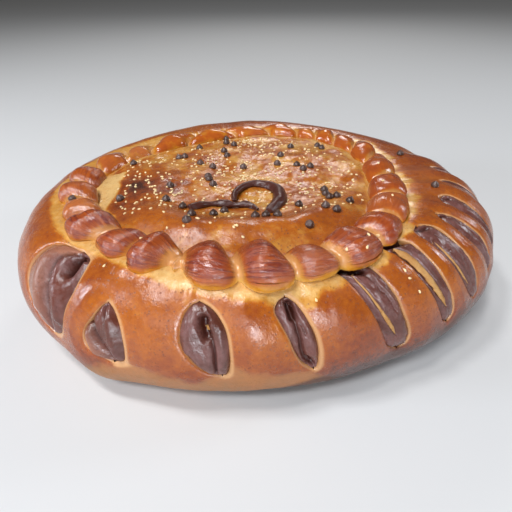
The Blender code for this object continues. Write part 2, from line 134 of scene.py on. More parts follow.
@dataclass(frozen=True)
class Ring:
    """The line that the twisted border follows on the crown."""

    centre_x: float = -8.3 * MM
    centre_y: float = -13.9 * MM
    radius: float = 105.5 * MM
    height: float = 84.5 * MM
    waves: Waves = ((2, -0.001, 0.023), (3, -0.052, 0.004))

    def radius_at(self, azimuth: Array) -> Array:
        """Give the ring's radius at azimuths round its own centre."""
        return self.radius * outline(azimuth, self.waves)

    def at(self, azimuth: Array, reach: Array) -> tuple[Array, Array]:
        """Give x and y of places at azimuths and distances from the ring's centre."""
        turn = np.radians(azimuth)
        return self.centre_x + reach * np.sin(turn), self.centre_y - reach * np.cos(turn)

    def offset(self, x: Array, y: Array) -> tuple[Array, Array, Array]:
        """Measure places from the ring.

        Args:
            x: Places along X.
            y: Places along Y.

        Returns:
            Distance outwards from the ring's line, distance from its centre, azimuth round it.
        """
        east = x - self.centre_x
        north = y - self.centre_y
        azimuth = np.degrees(np.arctan2(east, -north))
        reach = np.hypot(east, north)
        return reach - self.radius_at(azimuth), reach, azimuth


def level_of(line: Sequence[Pair], azimuth: Array) -> Array:
    """Give the latitudes at azimuths of a line drawn round the side."""
    azimuths, latitudes = zip(*line)
    return np.interp(turn_between(azimuth, 0), azimuths, latitudes)


def outline(azimuth: Array, waves: Waves) -> Array:
    """Give an uneven outline's radius as a share of the round one.

    Args:
        azimuth: Azimuths in degrees.
        waves: For each wave its count round the outline, cosine part and sine part.

    Returns:
        The share at each azimuth.
    """
    angle = np.radians(np.asarray(azimuth, float) - 90)
    total = np.ones_like(angle)
    for count, cosine, sine in waves:
        total = total + cosine * np.cos(count * angle) + sine * np.sin(count * angle)
    return total


@dataclass(frozen=True)
class LoafForm:
    """Sizes of the whole loaf, with the functions that place a point on it."""

    base_radius: float = 118.8 * MM
    widest_radius: float = 160.0 * MM
    crown_radius: float = 118.6 * MM
    widest_height: float = 38.5 * MM
    crown_height: float = 85.5 * MM
    foot_station: float = 1 / 6
    brow_station: float = 2 / 3
    waves: Waves = ((2, 0.049, 0.008), (3, 0.019, -0.031), (4, 0.009, -0.002))
    ring: Ring = Ring()
    bed_depth: float = 4.5 * MM
    bed_half_width: float = 11.0 * MM
    ridge_radius: float = 75.0 * MM
    ridge_width: float = 13.0 * MM
    ridge_height: float = 6.5 * MM
    ridge_half_turn: float = 58.0
    # Middle x and y, reach along x and y, height, in millimetres.
    crown_swells: tuple[tuple[float, float, float, float, float], ...] = (
        (-66, -18, 30, 40, 4.0), (-97, -42, 15, 22, -3.0), (4, -42, 34, 22, -2.5),
        (38, 18, 34, 26, 2.0), (-30, 38, 40, 26, 1.5), (60, -30, 22, 24, -1.5))
    # Azimuth, latitude, reach round and up in degrees, height in millimetres.
    side_swells: tuple[tuple[float, float, float, float, float], ...] = (
        (-36, -38, 6, 26, 3.5), (-86, 0, 16, 40, 2.0), (18, -55, 12, 24, 1.5),
        (48, -40, 12, 24, 1.0))

    def latitude(self, station: Array) -> Array:
        """Give latitudes, 90 at the brow of the crown and -90 at the foot, from stations."""
        middle = (self.foot_station + self.brow_station) / 2
        return 90 * (station - middle) / (self.brow_station - middle)

    def station(self, latitude: Array) -> Array:
        """Give stations from latitudes."""
        middle = (self.foot_station + self.brow_station) / 2
        return middle + (self.brow_station - middle) * latitude / 90

    def profile(self, station: Array) -> tuple[Array, Array, Array, Array]:
        """Give the round loaf's profile.

        Args:
            station: Stations from 0 to 1.

        Returns:
            Radius, height, and the outward and upward parts of the normal.
        """
        angle = np.radians(np.clip(self.latitude(station), -90, 90))
        above = angle > 0
        end = np.where(above, self.crown_radius, self.base_radius)
        rise = np.where(above, self.crown_height - self.widest_height, self.widest_height)
        reach = self.widest_radius - end
        radius = end + reach * np.cos(angle)
        height = self.widest_height + rise * np.sin(angle)
        outward = np.cos(angle) / reach
        upward = np.sin(angle) / rise
        length = np.hypot(outward, upward)
        under = station < self.foot_station
        over = station > self.brow_station
        radius = np.where(under, self.base_radius * station / self.foot_station, radius)
        radius = np.where(
            over, self.crown_radius * (1 - station) / (1 - self.brow_station), radius)
        return radius, height, outward / length, upward / length

    def radius_at(self, azimuth: Array, station: Array) -> Array:
        """Give the distance from the loaf's axis at these places."""
        return self.profile(station)[0] * outline(azimuth, self.waves)

    def crown_relief(self, x: Array, y: Array) -> Array:
        """Give the relief of the top: its border's bed, the ridge behind the bed and the swells.

        Args:
            x: Places along X.
            y: Places along Y.

        Returns:
            How far the top stands above the plain crown, in metres.
        """
        off_ring, from_centre, azimuth = self.ring.offset(x, y)
        height = -self.bed_depth * hump(off_ring, 0, self.bed_half_width)
        along = np.exp(-((azimuth / self.ridge_half_turn) ** 4))
        across = hump(from_centre, self.ridge_radius, self.ridge_width)
        height = height + self.ridge_height * along * across
        for middle_x, middle_y, reach_x, reach_y, stands in self.crown_swells:
            form = hump(x / MM, middle_x, reach_x) * hump(y / MM, middle_y, reach_y)
            height = height + stands * MM * form
        return height

    def side_relief(self, azimuth: Array, latitude: Array) -> Array:
        """Give the relief of the side.

        Args:
            azimuth: Azimuths in degrees.
            latitude: Latitudes.

        Returns:
            How far the side stands out from the plain one, in metres.
        """
        height = np.zeros_like(azimuth)
        for middle, level, reach_round, reach_up, stands in self.side_swells:
            form = hump(turn_between(azimuth, middle), 0, reach_round)
            height = height + stands * MM * form * hump(latitude, level, reach_up)
        return height

    def place(self, azimuth: Array, station: Array, depth: Array) -> Array:
        """Place points in space.

        Args:
            azimuth: Azimuths in degrees.
            station: Stations from 0 to 1.
            depth: Depths below the surface, in metres.

        Returns:
            One row of x, y and z for each point.
        """
        radius, height, outward, upward = self.profile(station)
        turn = np.radians(azimuth)
        radius = radius * outline(azimuth, self.waves)
        level = np.maximum(0.0, upward) ** 2
        depth = depth - self.crown_relief(radius * np.sin(turn), -radius * np.cos(turn)) * level
        latitude = self.latitude(station)
        on_side = (latitude > -90) & (latitude < 90)
        depth = depth - np.where(on_side, self.side_relief(azimuth, latitude), 0.0)
        reach = radius - depth * outward
        return np.stack([reach * np.sin(turn), -reach * np.cos(turn), height - depth * upward], 1)


# ---- slits


def curve_at(points: Sequence[Sequence[float]], place: Array, closed: bool = False) -> Array:
    """Give places on a smooth curve through points.

    Args:
        points: Points of any number of parts.
        place: How far along the curve, counted in points from the first.
        closed: Whether the curve returns to its start.

    Returns:
        The places, one row each.
    """
    knots = np.array(points, float)
    count = len(knots)
    legs = count if closed else count - 1
    whole = np.minimum(np.floor(place).astype(int), legs - 1)
    part = (place - whole)[:, None]
    numbers = [whole + step for step in (-1, 0, 1, 2)]
    before, here, following, beyond = (
        knots[number % count if closed else np.clip(number, 0, count - 1)] for number in numbers)
    return 0.5 * (2 * here + (following - before) * part
                  + (2 * before - 5 * here + 4 * following - beyond) * part ** 2
                  + (3 * here - before - 3 * following + beyond) * part ** 3)


def smooth_path(points: Sequence[Sequence[float]], steps: int, closed: bool = False) -> Array:
    """Draw a smooth curve through points, with so many steps from each to the next."""
    legs = len(points) if closed else len(points) - 1
    return curve_at(points, np.linspace(0, legs, legs * steps + 1), closed)


def crowded_steps(low: float, high: float, count: int) -> Array:
    """Give so many numbers from low to high, which crowd at both ends."""
    return low + (high - low) * (0.5 - 0.5 * np.cos(np.linspace(0, math.pi, count)))


@dataclass(frozen=True)
class Furrow:
    """A furrow, a pit or, below 0, a swelling in the cocoa dough, along azimuths and latitudes; its
    shade says how much painted shade darkens it.
    """

    path: tuple[Pair, ...]
    half_width: float
    depth: float
    blunt: float = 1.7
    shade: float = 1.0


@dataclass(frozen=True)
class CreamStrip:
    """A strip of the plain core: azimuth, latitude and half width in millimetres along it."""

    path: tuple[tuple[float, float, float], ...]
    depth: float = 1.0


@dataclass
class Slit:
    """An opening in the golden dough, with what swells out of it.

    The outline runs from the top tip down the left edge and back up the right one, as azimuths and
    latitudes.  Widths and depths are in millimetres.  Left of the veil's line a thin golden skin
    still covers the cocoa dough.
    """

    name: str
    outline: tuple[Pair, ...]
    crest: float = 0.0
    lip_left: float = 0.7
    lip_right: float = 1.2
    tan_top: float = 0.0
    wrinkle: float = 0.25
    furrows: tuple[Furrow, ...] = ()
    cream: tuple[CreamStrip, ...] = ()
    veil: tuple[Pair, ...] = ()
    veil_share: float = 0.0
    steps_each: int = 16
    level_count: int = 160
    # Degrees that each edge gives up, so that the tips close.
    tip_gap: float = 0.15
    main_latitude: float = 20.0

    def __post_init__(self) -> None:
        """Work out the edges once."""
        loop = smooth_path(self.outline, self.steps_each, closed=True)
        loop = np.roll(loop[:-1], -int(np.argmax(loop[:-1, 1])), axis=0)
        low = int(np.argmin(loop[:, 1]))
        left = loop[:low + 1][::-1]
        right = np.vstack([loop[low:], loop[:1]])
        self.bottom = float(loop[low, 1])
        self.top = float(loop[0, 1])
        self.levels = crowded_steps(self.bottom, self.top, self.level_count)
        sides = [np.interp(self.levels, np.maximum.accumulate(side[:, 1]), side[:, 0])
                 for side in (left, right)]
        self.middles = (sides[0] + sides[1]) / 2
        self.half_turns = np.maximum(0, (sides[1] - sides[0]) / 2)
        self.azimuth = float(self.middle(self.main_latitude))

    def middle(self, latitude: Array) -> Array:
        """Give the azimuths of the slit's middle line."""
        return np.interp(latitude, self.levels, self.middles)

    def half_turn(self, latitude: Array) -> Array:
        """Give half the slit's open width in degrees, 0 at its tips and beyond them."""
        wide = np.interp(latitude, self.levels, self.half_turns, left=0, right=0)
        return np.maximum(0.0, wide - self.tip_gap)


# Radius of the side at the plain slits, in millimetres, and how square their outline is.
PLAIN_RADIUS = 156.0
PLAIN_POINTS = 16
SQUARE_UP = 0.85
SQUARE_ACROSS = 0.8


def plain_slit(name: str, azimuth: float, top: float, bottom: float, half_width: float,
               lean: float = 0.0, **rest: object) -> Slit:
    """Make a slit with an even outline.

    Args:
        name: Its name.
        azimuth: Azimuth of its middle.
        top: Latitude of its top end.
        bottom: Latitude of its bottom end.
        half_width: Half its width, in millimetres.
        lean: How far its top leans towards +azimuth, in degrees.
        rest: Its other values.

    Returns:
        The slit.
    """
    points = []
    for step in range(PLAIN_POINTS):
        angle = math.pi / 2 + math.tau * step / PLAIN_POINTS
        level = math.copysign(abs(math.sin(angle)) ** SQUARE_UP, math.sin(angle))
        across = math.copysign(abs(math.cos(angle)) ** SQUARE_ACROSS, math.cos(angle))
        turn = across * math.degrees(half_width / PLAIN_RADIUS) + lean * level
        points.append((azimuth + turn, (top + bottom) / 2 + level * (top - bottom) / 2))
    return Slit(name, tuple(points), **rest)


SLITS = (
    Slit("fourth front",
         ((-43.1, 69.5), (-47.5, 69), (-51.8, 65.5), (-55, 57), (-57.2, 44), (-58.5, 31),
          (-58.3, 20), (-56.6, 11), (-52.6, 3), (-48.2, -3), (-45.2, -4), (-42.8, 2),
          (-41.8, 11), (-41.4, 19), (-40.9, 28), (-40.1, 38), (-39.9, 48), (-40.1, 58),
          (-41.0, 66)),
         crest=-0.4, lip_left=0.5, lip_right=2.2, tan_top=1.0, wrinkle=0.3,
         veil=((-47.6, 62), (-49.2, 52), (-49.2, 43), (-48.4, 35), (-47.6, 26), (-46.7, 15),
               (-46.2, 3), (-46, -4)), veil_share=0.75,
         furrows=(
             Furrow(((-47.6, 61), (-49.0, 52), (-49.0, 43), (-48.2, 35), (-47.4, 26),
                     (-46.5, 15), (-46.0, 3)), 1.5, 4.0, 1.6, 1.0),
             Furrow(((-47.6, 60.5), (-46.2, 65), (-43.6, 67), (-41.2, 66)), 0.9, 3.5, 1.4, 0.9),
             Furrow(((-43.0, 66), (-43.8, 61), (-43.4, 55), (-43.4, 50)), 2.6, 8.0, 2.8),
             Furrow(((-46.6, 57), (-46.0, 44), (-44.2, 30), (-43.0, 15)), 3.4, -2.4, 2.0),
             Furrow(((-52.4, 52), (-52.4, 42), (-51.4, 30), (-49.8, 16)), 5.5, -2.6, 2.2),
             Furrow(((-49.6, 46), (-48.9, 37)), 2.4, 0.8, 2.0, 0.0))),
    Slit("third front",
         ((-31.1, 41), (-32.5, 37), (-34.0, 28), (-35.4, 19), (-36.0, 10), (-35.4, 3),
          (-33.6, -1), (-31.2, -3.5), (-29.0, -5), (-27.0, -2), (-26.4, 9), (-26.7, 18),
          (-27.6, 28), (-29.2, 36.5)),
         crest=-0.7, lip_left=0.4, lip_right=3.2, wrinkle=0.3,
         veil=((-34.6, 27), (-33.6, 21), (-32.4, 15), (-31.0, 9), (-29.6, 3), (-29, -3)),
         veil_share=0.85,
         furrows=(
             Furrow(((-34.4, 26), (-33.4, 21), (-32.2, 15), (-30.8, 9), (-29.4, 3), (-28.8, -3)),
                    1.5, 4.6, 1.6, 1.0),
             Furrow(((-31.3, 38), (-30.8, 33), (-30.6, 28)), 0.7, 2.2, 1.4, 0.8),
             Furrow(((-29.6, 30), (-28.7, 16), (-28.0, 5)), 3.0, -1.6, 2.0),
             Furrow(((-34.2, 15), (-32.6, 4)), 3.2, -2.0, 2.0),
             Furrow(((-31.1, 40),), 1.4, 2.5, 2.0))),
    Slit("second front",
         ((-11.9, 50), (-13.8, 47), (-14.9, 40), (-15.3, 31), (-15.3, 22), (-14.7, 16),
          (-13.6, 9), (-12.0, 2), (-9.6, -5), (-7.4, -8), (-6.0, -6), (-5.4, 3), (-5.4, 14),
          (-5.9, 27), (-7.3, 38), (-9.4, 46)),
         crest=-0.6, lip_left=0.5, lip_right=2.4, wrinkle=0.2,
         furrows=(
             Furrow(((-10.6, 38), (-10.6, 34), (-10.2, 30), (-9.8, 26)), 2.3, 5.5, 2.6, 0.9),
             Furrow(((-9.6, 30), (-9.0, 25), (-8.5, 18), (-8.3, 8), (-8.4, -7)), 0.8, 3.2, 1.3,
                    0.9),
             Furrow(((-13.6, 34), (-13.2, 20), (-11.0, 8)), 4.5, -1.2, 2.0),
             Furrow(((-7.4, 34), (-6.6, 18), (-6.8, 4)), 2.2, -0.9, 2.0),
             Furrow(((-13.9, 15),), 2.0, -1.3, 2.0)),
         cream=(CreamStrip(((-9.9, 34, 0.1), (-9.7, 32, 0.2), (-9.5, 30, 0.1)), 2.9),)),
    Slit("first front",
         ((6.2, 51), (4.6, 48), (3.7, 42), (4.4, 35), (5.4, 28), (6.5, 20), (7.4, 11), (8.8, 1),
          (10.4, -7), (12.0, -12), (12.9, -8), (13.0, 2), (12.8, 11), (12.1, 21), (10.9, 31),
          (9.4, 41), (7.8, 48)),
         crest=0.5, lip_left=0.7, lip_right=2.6, wrinkle=0.6,
         furrows=(
             Furrow(((6.9, 46), (7.2, 40), (7.5, 34)), 1.9, 7.0, 2.6),
             Furrow(((7.6, 36), (8.2, 28), (8.8, 19), (9.3, 8), (10.4, 0)), 1.5, 3.0, 1.8, 0.7),
             Furrow(((10.5, 1), (11.3, -5)), 2.2, 4.0, 2.6, 0.9),
             Furrow(((8.6, 32), (9.6, 27), (10.1, 22)), 0.5, 1.6, 1.4, 0.6),
             Furrow(((10.6, 26), (11.4, 14), (11.6, 6)), 2.2, -1.0, 2.0))),
    Slit("first right",
         ((24.5, 74), (21, 74), (19.3, 68), (21.2, 56), (22.7, 46), (24.2, 35), (25.5, 25),
          (26.7, 15), (28.1, 3), (29.4, -7), (31.4, -12.5), (33.8, -11), (34.6, -2), (33.9, 9),
          (32.8, 20), (31.8, 33), (30.6, 45), (29.4, 54), (28.4, 62), (27.2, 70)),
         crest=-0.1, lip_left=0.3, lip_right=0.9, wrinkle=0.6,
         furrows=(
             Furrow(((20.6, 67), (21.8, 57), (23.1, 46), (24.9, 33), (26.6, 21), (28.4, 7)),
                    2.3, 1.2, 2.2, 0.15),
             Furrow(((20.8, 69), (22.8, 63), (25.4, 61)), 2.6, 5.0, 2.6, 1.0),
             Furrow(((25.5, 58), (27.3, 49), (28.4, 41)), 0.6, 1.6, 1.4, 0.8),
             Furrow(((26.6, 56), (28.8, 40), (30.4, 26)), 0.5, 1.2, 1.4, 0.5),
             Furrow(((28.0, 52), (30.4, 34), (31.8, 18), (32.6, 5)), 2.6, -0.9, 2.0)),
         cream=(CreamStrip(((22.8, 59, 0.3), (23.8, 52, 0.7), (25.1, 43, 0.7), (26.5, 33, 1.0),
                            (28.1, 22, 1.4), (29.4, 13, 1.6), (30.6, 5, 0.4)), 0.7),)),
    Slit("second right",
         ((40.8, 82), (37.4, 82), (35.2, 76), (36.5, 64), (37.8, 53), (38.9, 41), (40.2, 30),
          (41.6, 18), (42.8, 8), (44.2, -2), (46.0, -6), (47.2, 2), (46.8, 13), (45.7, 26),
          (44.7, 39), (43.8, 51), (43.2, 62), (42.7, 72)),
         crest=-0.2, lip_left=0.3, lip_right=0.9, wrinkle=0.45,
         furrows=(
             Furrow(((36.4, 74), (37.4, 64), (38.7, 52), (40.0, 40), (41.4, 27), (42.9, 14)),
                    3.0, 0.5, 3.5, 0.0),
             Furrow(((36.2, 79), (38.6, 76), (41.2, 76)), 2.6, 4.5, 2.6, 1.0),
             Furrow(((42.2, 62), (43.6, 42), (45.0, 22)), 1.8, -0.7, 2.0)),
         cream=(CreamStrip(((37.0, 72, 1.2), (38.1, 65, 2.6), (39.1, 56, 2.7), (40.1, 46, 2.5),
                            (41.2, 36, 2.3), (42.4, 26, 1.9), (43.6, 17, 1.2), (44.1, 12, 0.3)),
                           0.3),)),
    Slit("third right",
         ((50.2, 84), (47.6, 82), (46.6, 75), (47.2, 65), (47.9, 52), (49.0, 39), (50.0, 28),
          (51.4, 17), (53.2, 7), (55.3, 0), (56.6, 3), (56.4, 13), (55.9, 25), (55.3, 37),
          (54.3, 50), (53.9, 62), (53.6, 73), (52.4, 80)),
         crest=-0.4, lip_left=0.3, lip_right=0.8, wrinkle=0.6,
         furrows=(
             Furrow(((50.0, 54),), 1.0, 2.5, 2.0),
             Furrow(((48.6, 79), (51, 77)), 2.0, 2.6, 2.4),
             Furrow(((50.4, 45), (52.0, 30), (53.4, 16)), 0.5, 1.2, 1.4, 0.5)),
         cream=(CreamStrip(((48.2, 64, 0.3), (48.9, 51, 0.9), (49.9, 39, 0.8), (50.9, 28, 1.0),
                            (52.2, 18, 0.4)), 0.6),)),
    Slit("fourth right",
         ((59.6, 82), (58.1, 75), (58.0, 64), (58.4, 53), (59.6, 41), (61.0, 30), (62.6, 18),
          (64.2, 8), (65.4, 10), (65.2, 24), (64.4, 38), (63.4, 49), (62.8, 60), (62.0, 70),
          (61.2, 78)),
         crest=-0.2, lip_left=0.3, lip_right=0.9, wrinkle=0.35,
         furrows=(Furrow(((59.3, 79), (60.2, 74)), 1.6, 3.0, 2.4),
                  Furrow(((60.6, 62), (61.6, 46), (62.8, 30)), 0.5, 1.2, 1.4, 0.5))),
    Slit("fifth right",
         ((69.6, 87.5), (67.6, 84), (67.0, 76), (66.8, 68), (67.4, 58), (68.0, 48), (68.9, 36),
          (70.2, 24), (71.6, 14), (72.4, 22), (72.0, 38), (71.9, 52), (72.2, 62), (72.6, 73),
          (72.8, 82), (71.6, 87)),
         crest=-0.3, lip_left=0.3, lip_right=0.9, wrinkle=0.35,
         furrows=(Furrow(((69.4, 84), (70.6, 79)), 1.6, 3.0, 2.4),
                  Furrow(((69.8, 66), (70.2, 50), (70.6, 34)), 0.5, 1.2, 1.4, 0.5))),
    plain_slit("sixth right", 81.6, 86, 8, 4.4, 0.6),
    plain_slit("seventh right", 93.2, 82, 4, 4.2),
    plain_slit("eighth right", 106.2, 78, 2, 4.8, 0.6),
    plain_slit("first back", 124.5, 44, -8, 8.0, 0.5,
               furrows=(Furrow(((125, 32), (125.5, 14), (125, 0)), 0.9, 3.4, 1.4),)),
    plain_slit("second back", 146.5, 38, -8, 9.0, lip_left=3.0,
               furrows=(Furrow(((146, 28), (146.8, 20)), 2.2, 6.5, 2.8),
                        Furrow(((147, 18), (147.6, -4)), 0.8, 3.0, 1.4))),
    plain_slit("third back", 169.5, 36, -10, 9.0, -0.5,
               furrows=(Furrow(((168.4, 30), (169.2, 14), (170.4, -4)), 0.9, 3.6, 1.4),)),
    plain_slit("fourth back", 190.5, 38, -8, 9.0, 0.5, lip_right=2.6,
               furrows=(Furrow(((190.4, 28), (190.9, 18)), 2.4, 6.5, 2.8),
                        Furrow(((191.2, 16), (191.4, -5)), 0.8, 3.0, 1.4))),
    plain_slit("fifth back", 212.5, 36, -8, 9.0, 0.5,
               furrows=(Furrow(((213.8, 28), (213.2, 12), (211.8, -4)), 0.9, 3.4, 1.4),)),
    plain_slit("sixth back", 235.5, 38, -8, 9.0, -0.5, lip_left=2.4,
               furrows=(Furrow(((235.2, 26), (235.0, 18)), 2.2, 6.0, 2.8),)),
    plain_slit("first left", 258.0, 36, -8, 10.0, lip_right=2.6,
               furrows=(Furrow(((256.9, 29), (257.4, 14), (258.8, -4)), 1.0, 3.8, 1.4),)),
    plain_slit("second left", 280.5, 26, -8, 8.0, 0.5),
)


@dataclass
class SlitRow:
    """All the slits round the loaf, with what the golden dough does beside them."""

    form: LoafForm
    slits: tuple[Slit, ...] = SLITS
    roll_reach: float = 3.0 * MM
    roll_depth: float = 1.7 * MM
    dip_reach: float = 9.0 * MM
    dip_depth: float = 1.7 * MM
    outline_points: int = 90
    # The right lip's width takes over from the left one's within this of the middle line.
    lip_change: float = 2.0 * MM
    # Shares of its width between which the cut lip fades into the crust.
    lip_fade: Pair = (0.55, 1.15)

    def __post_init__(self) -> None:
        """Measure the way up the loaf's side once."""
        self.levels = np.linspace(-90, 90, 361)
        radius, height, _, _ = self.form.profile(self.form.station(self.levels))
        legs = np.hypot(np.diff(radius), np.diff(height))
        self.rises = np.concatenate([[0], np.cumsum(legs)])

    def rise(self, latitude: Array) -> Array:
        """Give the distance up the side from the foot, in metres."""
        return np.interp(latitude, self.levels, self.rises)

    def latitude(self, rise: Array) -> Array:
        """Give the latitude at a distance up the side."""
        return np.interp(rise, self.rises, self.levels)

    def in_order(self) -> list[Slit]:
        """Give the slits in the order of their azimuths."""
        return sorted(self.slits, key=lambda slit: slit.azimuth % 360)

    def radius(self, slit: Slit, latitude: Array) -> Array:
        """Give the loaf's radius along a slit's middle line."""
        station = self.form.station(np.clip(latitude, -90, 90))
        return self.form.radius_at(slit.middle(latitude), station)

    def half_width(self, slit: Slit, latitude: Array) -> Array:
        """Give half a slit's width in metres."""
        return np.radians(slit.half_turn(latitude)) * self.radius(slit, latitude)

    def local(self, slit: Slit, azimuth: Array, latitude: Array) -> tuple[Array, Array]:
        """Give places across a slit from its middle line and up the side, in metres."""
        turn = np.radians(turn_between(azimuth, slit.middle(latitude)))
        return turn * self.radius(slit, latitude), self.rise(latitude)

    def gap_to_path(self, across: Array, rise: Array, line: Array) -> Array:
        """Measure places from a line.

        Args:
            across: The places' distances across a slit, in metres.
            rise: Their distances up the side.
            line: The line's points, across and up, one row each.

        Returns:
            The shortest distance from each place to the line, in metres.
        """
        spots = np.stack([across, rise], 1)
        if len(line) == 1:
            return np.linalg.norm(spots - line[0], axis=1)
        start, leg = line[:-1], np.diff(line, axis=0)
        squared = np.maximum((leg * leg).sum(1), 1e-12)
        share = np.clip(((spots[:, None] - start) * leg).sum(2) / squared, 0, 1)
        return np.linalg.norm(spots[:, None] - start - share[..., None] * leg, axis=2).min(1)

    def beside(self, azimuth: Array, latitude: Array) -> tuple[Array, Array]:
        """Measure the golden dough's places from the slits.

        Args:
            azimuth: Azimuths of the places.
            latitude: Latitudes of the places.

        Returns:
            Distance to the nearest slit in metres, and 1 where the pale cut lip shows.
        """
        nearest = np.full(azimuth.shape, 1.0)
        lip = np.zeros(azimuth.shape)
        for slit in self.slits:
            across, rise = self.local(slit, azimuth, latitude)
            levels = crowded_steps(slit.bottom, slit.top, self.outline_points)
            edge = self.half_width(slit, levels)
            margin = 3 * self.dip_reach
            low, high = self.rise(np.array([slit.bottom, slit.top]))
            near = (np.abs(across) < edge.max() + margin) & (rise > low - margin)
            near &= rise < high + margin
            if not near.any():
                continue
            line = np.stack([edge, self.rise(levels)], 1)
            gap = self.gap_to_path(np.abs(across[near]), rise[near], line)
            nearest[near] = np.minimum(nearest[near], gap)
            right = smooth_step(across[near], -self.lip_change, self.lip_change)
            reach = (slit.lip_left + (slit.lip_right - slit.lip_left) * right) * MM
            lip[near] = np.maximum(lip[near], 1 - smooth_step(gap / reach, *self.lip_fade))
        return nearest, lip

    def crust_depth(self, distance: Array) -> Array:
        """Say how the golden dough rolls in and dips beside a slit.

        Args:
            distance: Distances from the slit, in metres.

        Returns:
            How deep the dough is drawn in, in metres.
        """
        inward = np.clip(1 - distance / self.roll_reach, 0, 1)
        roll = self.roll_depth * (1 - np.sqrt(np.maximum(0, 1 - inward ** 2)))
        return roll + self.dip_depth * hump(distance, 0, self.dip_reach)

    def place(self, slit: Slit, across: Array, latitude: Array, depth: Array) -> Array:
        """Place points across a slit, at depths below the dough beside it, all in metres."""
        azimuth = slit.middle(latitude) + np.degrees(across / self.radius(slit, latitude))
        return self.form.place(azimuth, self.form.station(latitude), depth + self.dip_depth)


# ---- making meshes


@contextmanager
def edited(mesh: Mesh) -> Iterator[bmesh.types.BMesh]:
    """Open a mesh for bmesh operators, and write it back after them.

    Args:
        mesh: The mesh.

    Returns:
        The open shape, for a with statement.
    """
    shape = bmesh.new()
    shape.from_mesh(mesh)
    yield shape
    shape.to_mesh(mesh)
    shape.free()
    mesh.update()


def grid_mesh(name: str, columns: int, rows: int, copies: int = 1) -> tuple[Mesh, Array]:
    """Make flat grids whose points are then mapped onto a form.

    Args:
        name: The mesh's name.
        columns: Faces from side to side of each grid.
        rows: Faces from bottom to top of each grid.
        copies: How many grids.

    Returns:
        The mesh, and for each point which grid it is in and its place from 0 to 1 both ways.
    """
    mesh = bpy.data.meshes.new(name)
    with edited(mesh) as shape:
        for copy in range(copies):
            bmesh.ops.create_grid(shape, x_segments=columns, y_segments=rows, size=0.5,
                                  matrix=Matrix.Translation((2.0 * copy, 0, 0)))
    flat = points_of(mesh)
    copy = np.round(flat[:, 0] / 2)
    return mesh, np.stack([copy, flat[:, 0] - 2 * copy + 0.5, flat[:, 1] + 0.5], 1)


def points_of(mesh: Mesh) -> Array:
    """Read a mesh's points.

    Args:
        mesh: The mesh.

    Returns:
        The points, one row each.
    """
    flat = np.empty(len(mesh.vertices) * 3, np.float32)
    mesh.vertices.foreach_get("co", flat)
    return flat.reshape(-1, 3).astype(float)


def move_points(mesh: Mesh, points: Array) -> None:
    """Move the mesh's points to these places."""
    mesh.vertices.foreach_set("co", points.astype(np.float32).ravel())
    mesh.update()


def write_masks(mesh: Mesh, **masks: Array) -> None:
    """Keep numbers for each point in new named attributes of the mesh."""
    for name, values in masks.items():
        layer = mesh.attributes.new(name, "FLOAT", "POINT")
        layer.data.foreach_set("value", values.astype(np.float32))


def weld(mesh: Mesh, gap: float = 0.004 * MM, sliver: float = 0.001 * MM) -> None:
    """Close the seams of a mapped mesh and turn its faces outwards.

    Args:
        mesh: The mesh.
        gap: How far apart points may be that become one.
        sliver: Edges shorter than this are taken out.
    """
    with edited(mesh) as shape:
        bmesh.ops.remove_doubles(shape, verts=shape.verts, dist=gap)
        bmesh.ops.dissolve_degenerate(shape, dist=sliver, edges=shape.edges)
        bmesh.ops.recalc_face_normals(shape, faces=shape.faces)


def thicken(mesh: Mesh, thickness: float) -> None:
    """Give a sheet of dough its thickness, inwards.

    Args:
        mesh: The sheet's mesh.
        thickness: Its thickness in metres.
    """
    with edited(mesh) as shape:
        bmesh.ops.recalc_face_normals(shape, faces=shape.faces)
        bmesh.ops.solidify(shape, geom=shape.faces[:], thickness=thickness)


def finish_piece(name: str, mesh: Mesh, material: Material, slot: Slot,
                 *replaced: str) -> Object:
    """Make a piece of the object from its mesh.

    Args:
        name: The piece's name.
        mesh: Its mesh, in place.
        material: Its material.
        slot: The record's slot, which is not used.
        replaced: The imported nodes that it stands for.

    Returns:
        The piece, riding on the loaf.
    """
    mesh.materials.append(material)
    mesh.shade_smooth()
    piece = bpy.data.objects.new(name, mesh)
    bpy.context.scene.collection.objects.link(piece)
    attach(piece, "root")
    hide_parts(*replaced)
    mesh.calc_loop_triangles()
    heights = points_of(mesh)[:, 2] / MM
    LOG.info("%s: %d triangles, %.1f to %.1f mm high", name, len(mesh.loop_triangles),
             heights.min(), heights.max())
    return piece


def joined(name: str, meshes: Sequence[Mesh]) -> Mesh:
    """Join meshes into one and remove them.

    Args:
        name: The joined mesh's name.
        meshes: The meshes, each in place.

    Returns:
        The joined mesh, which keeps their attributes.
    """
    whole = bpy.data.meshes.new(name)
    with edited(whole) as shape:
        for mesh in meshes:
            shape.from_mesh(mesh)
    for mesh in meshes:
        bpy.data.meshes.remove(mesh)
    return whole


# ---- shader nodes


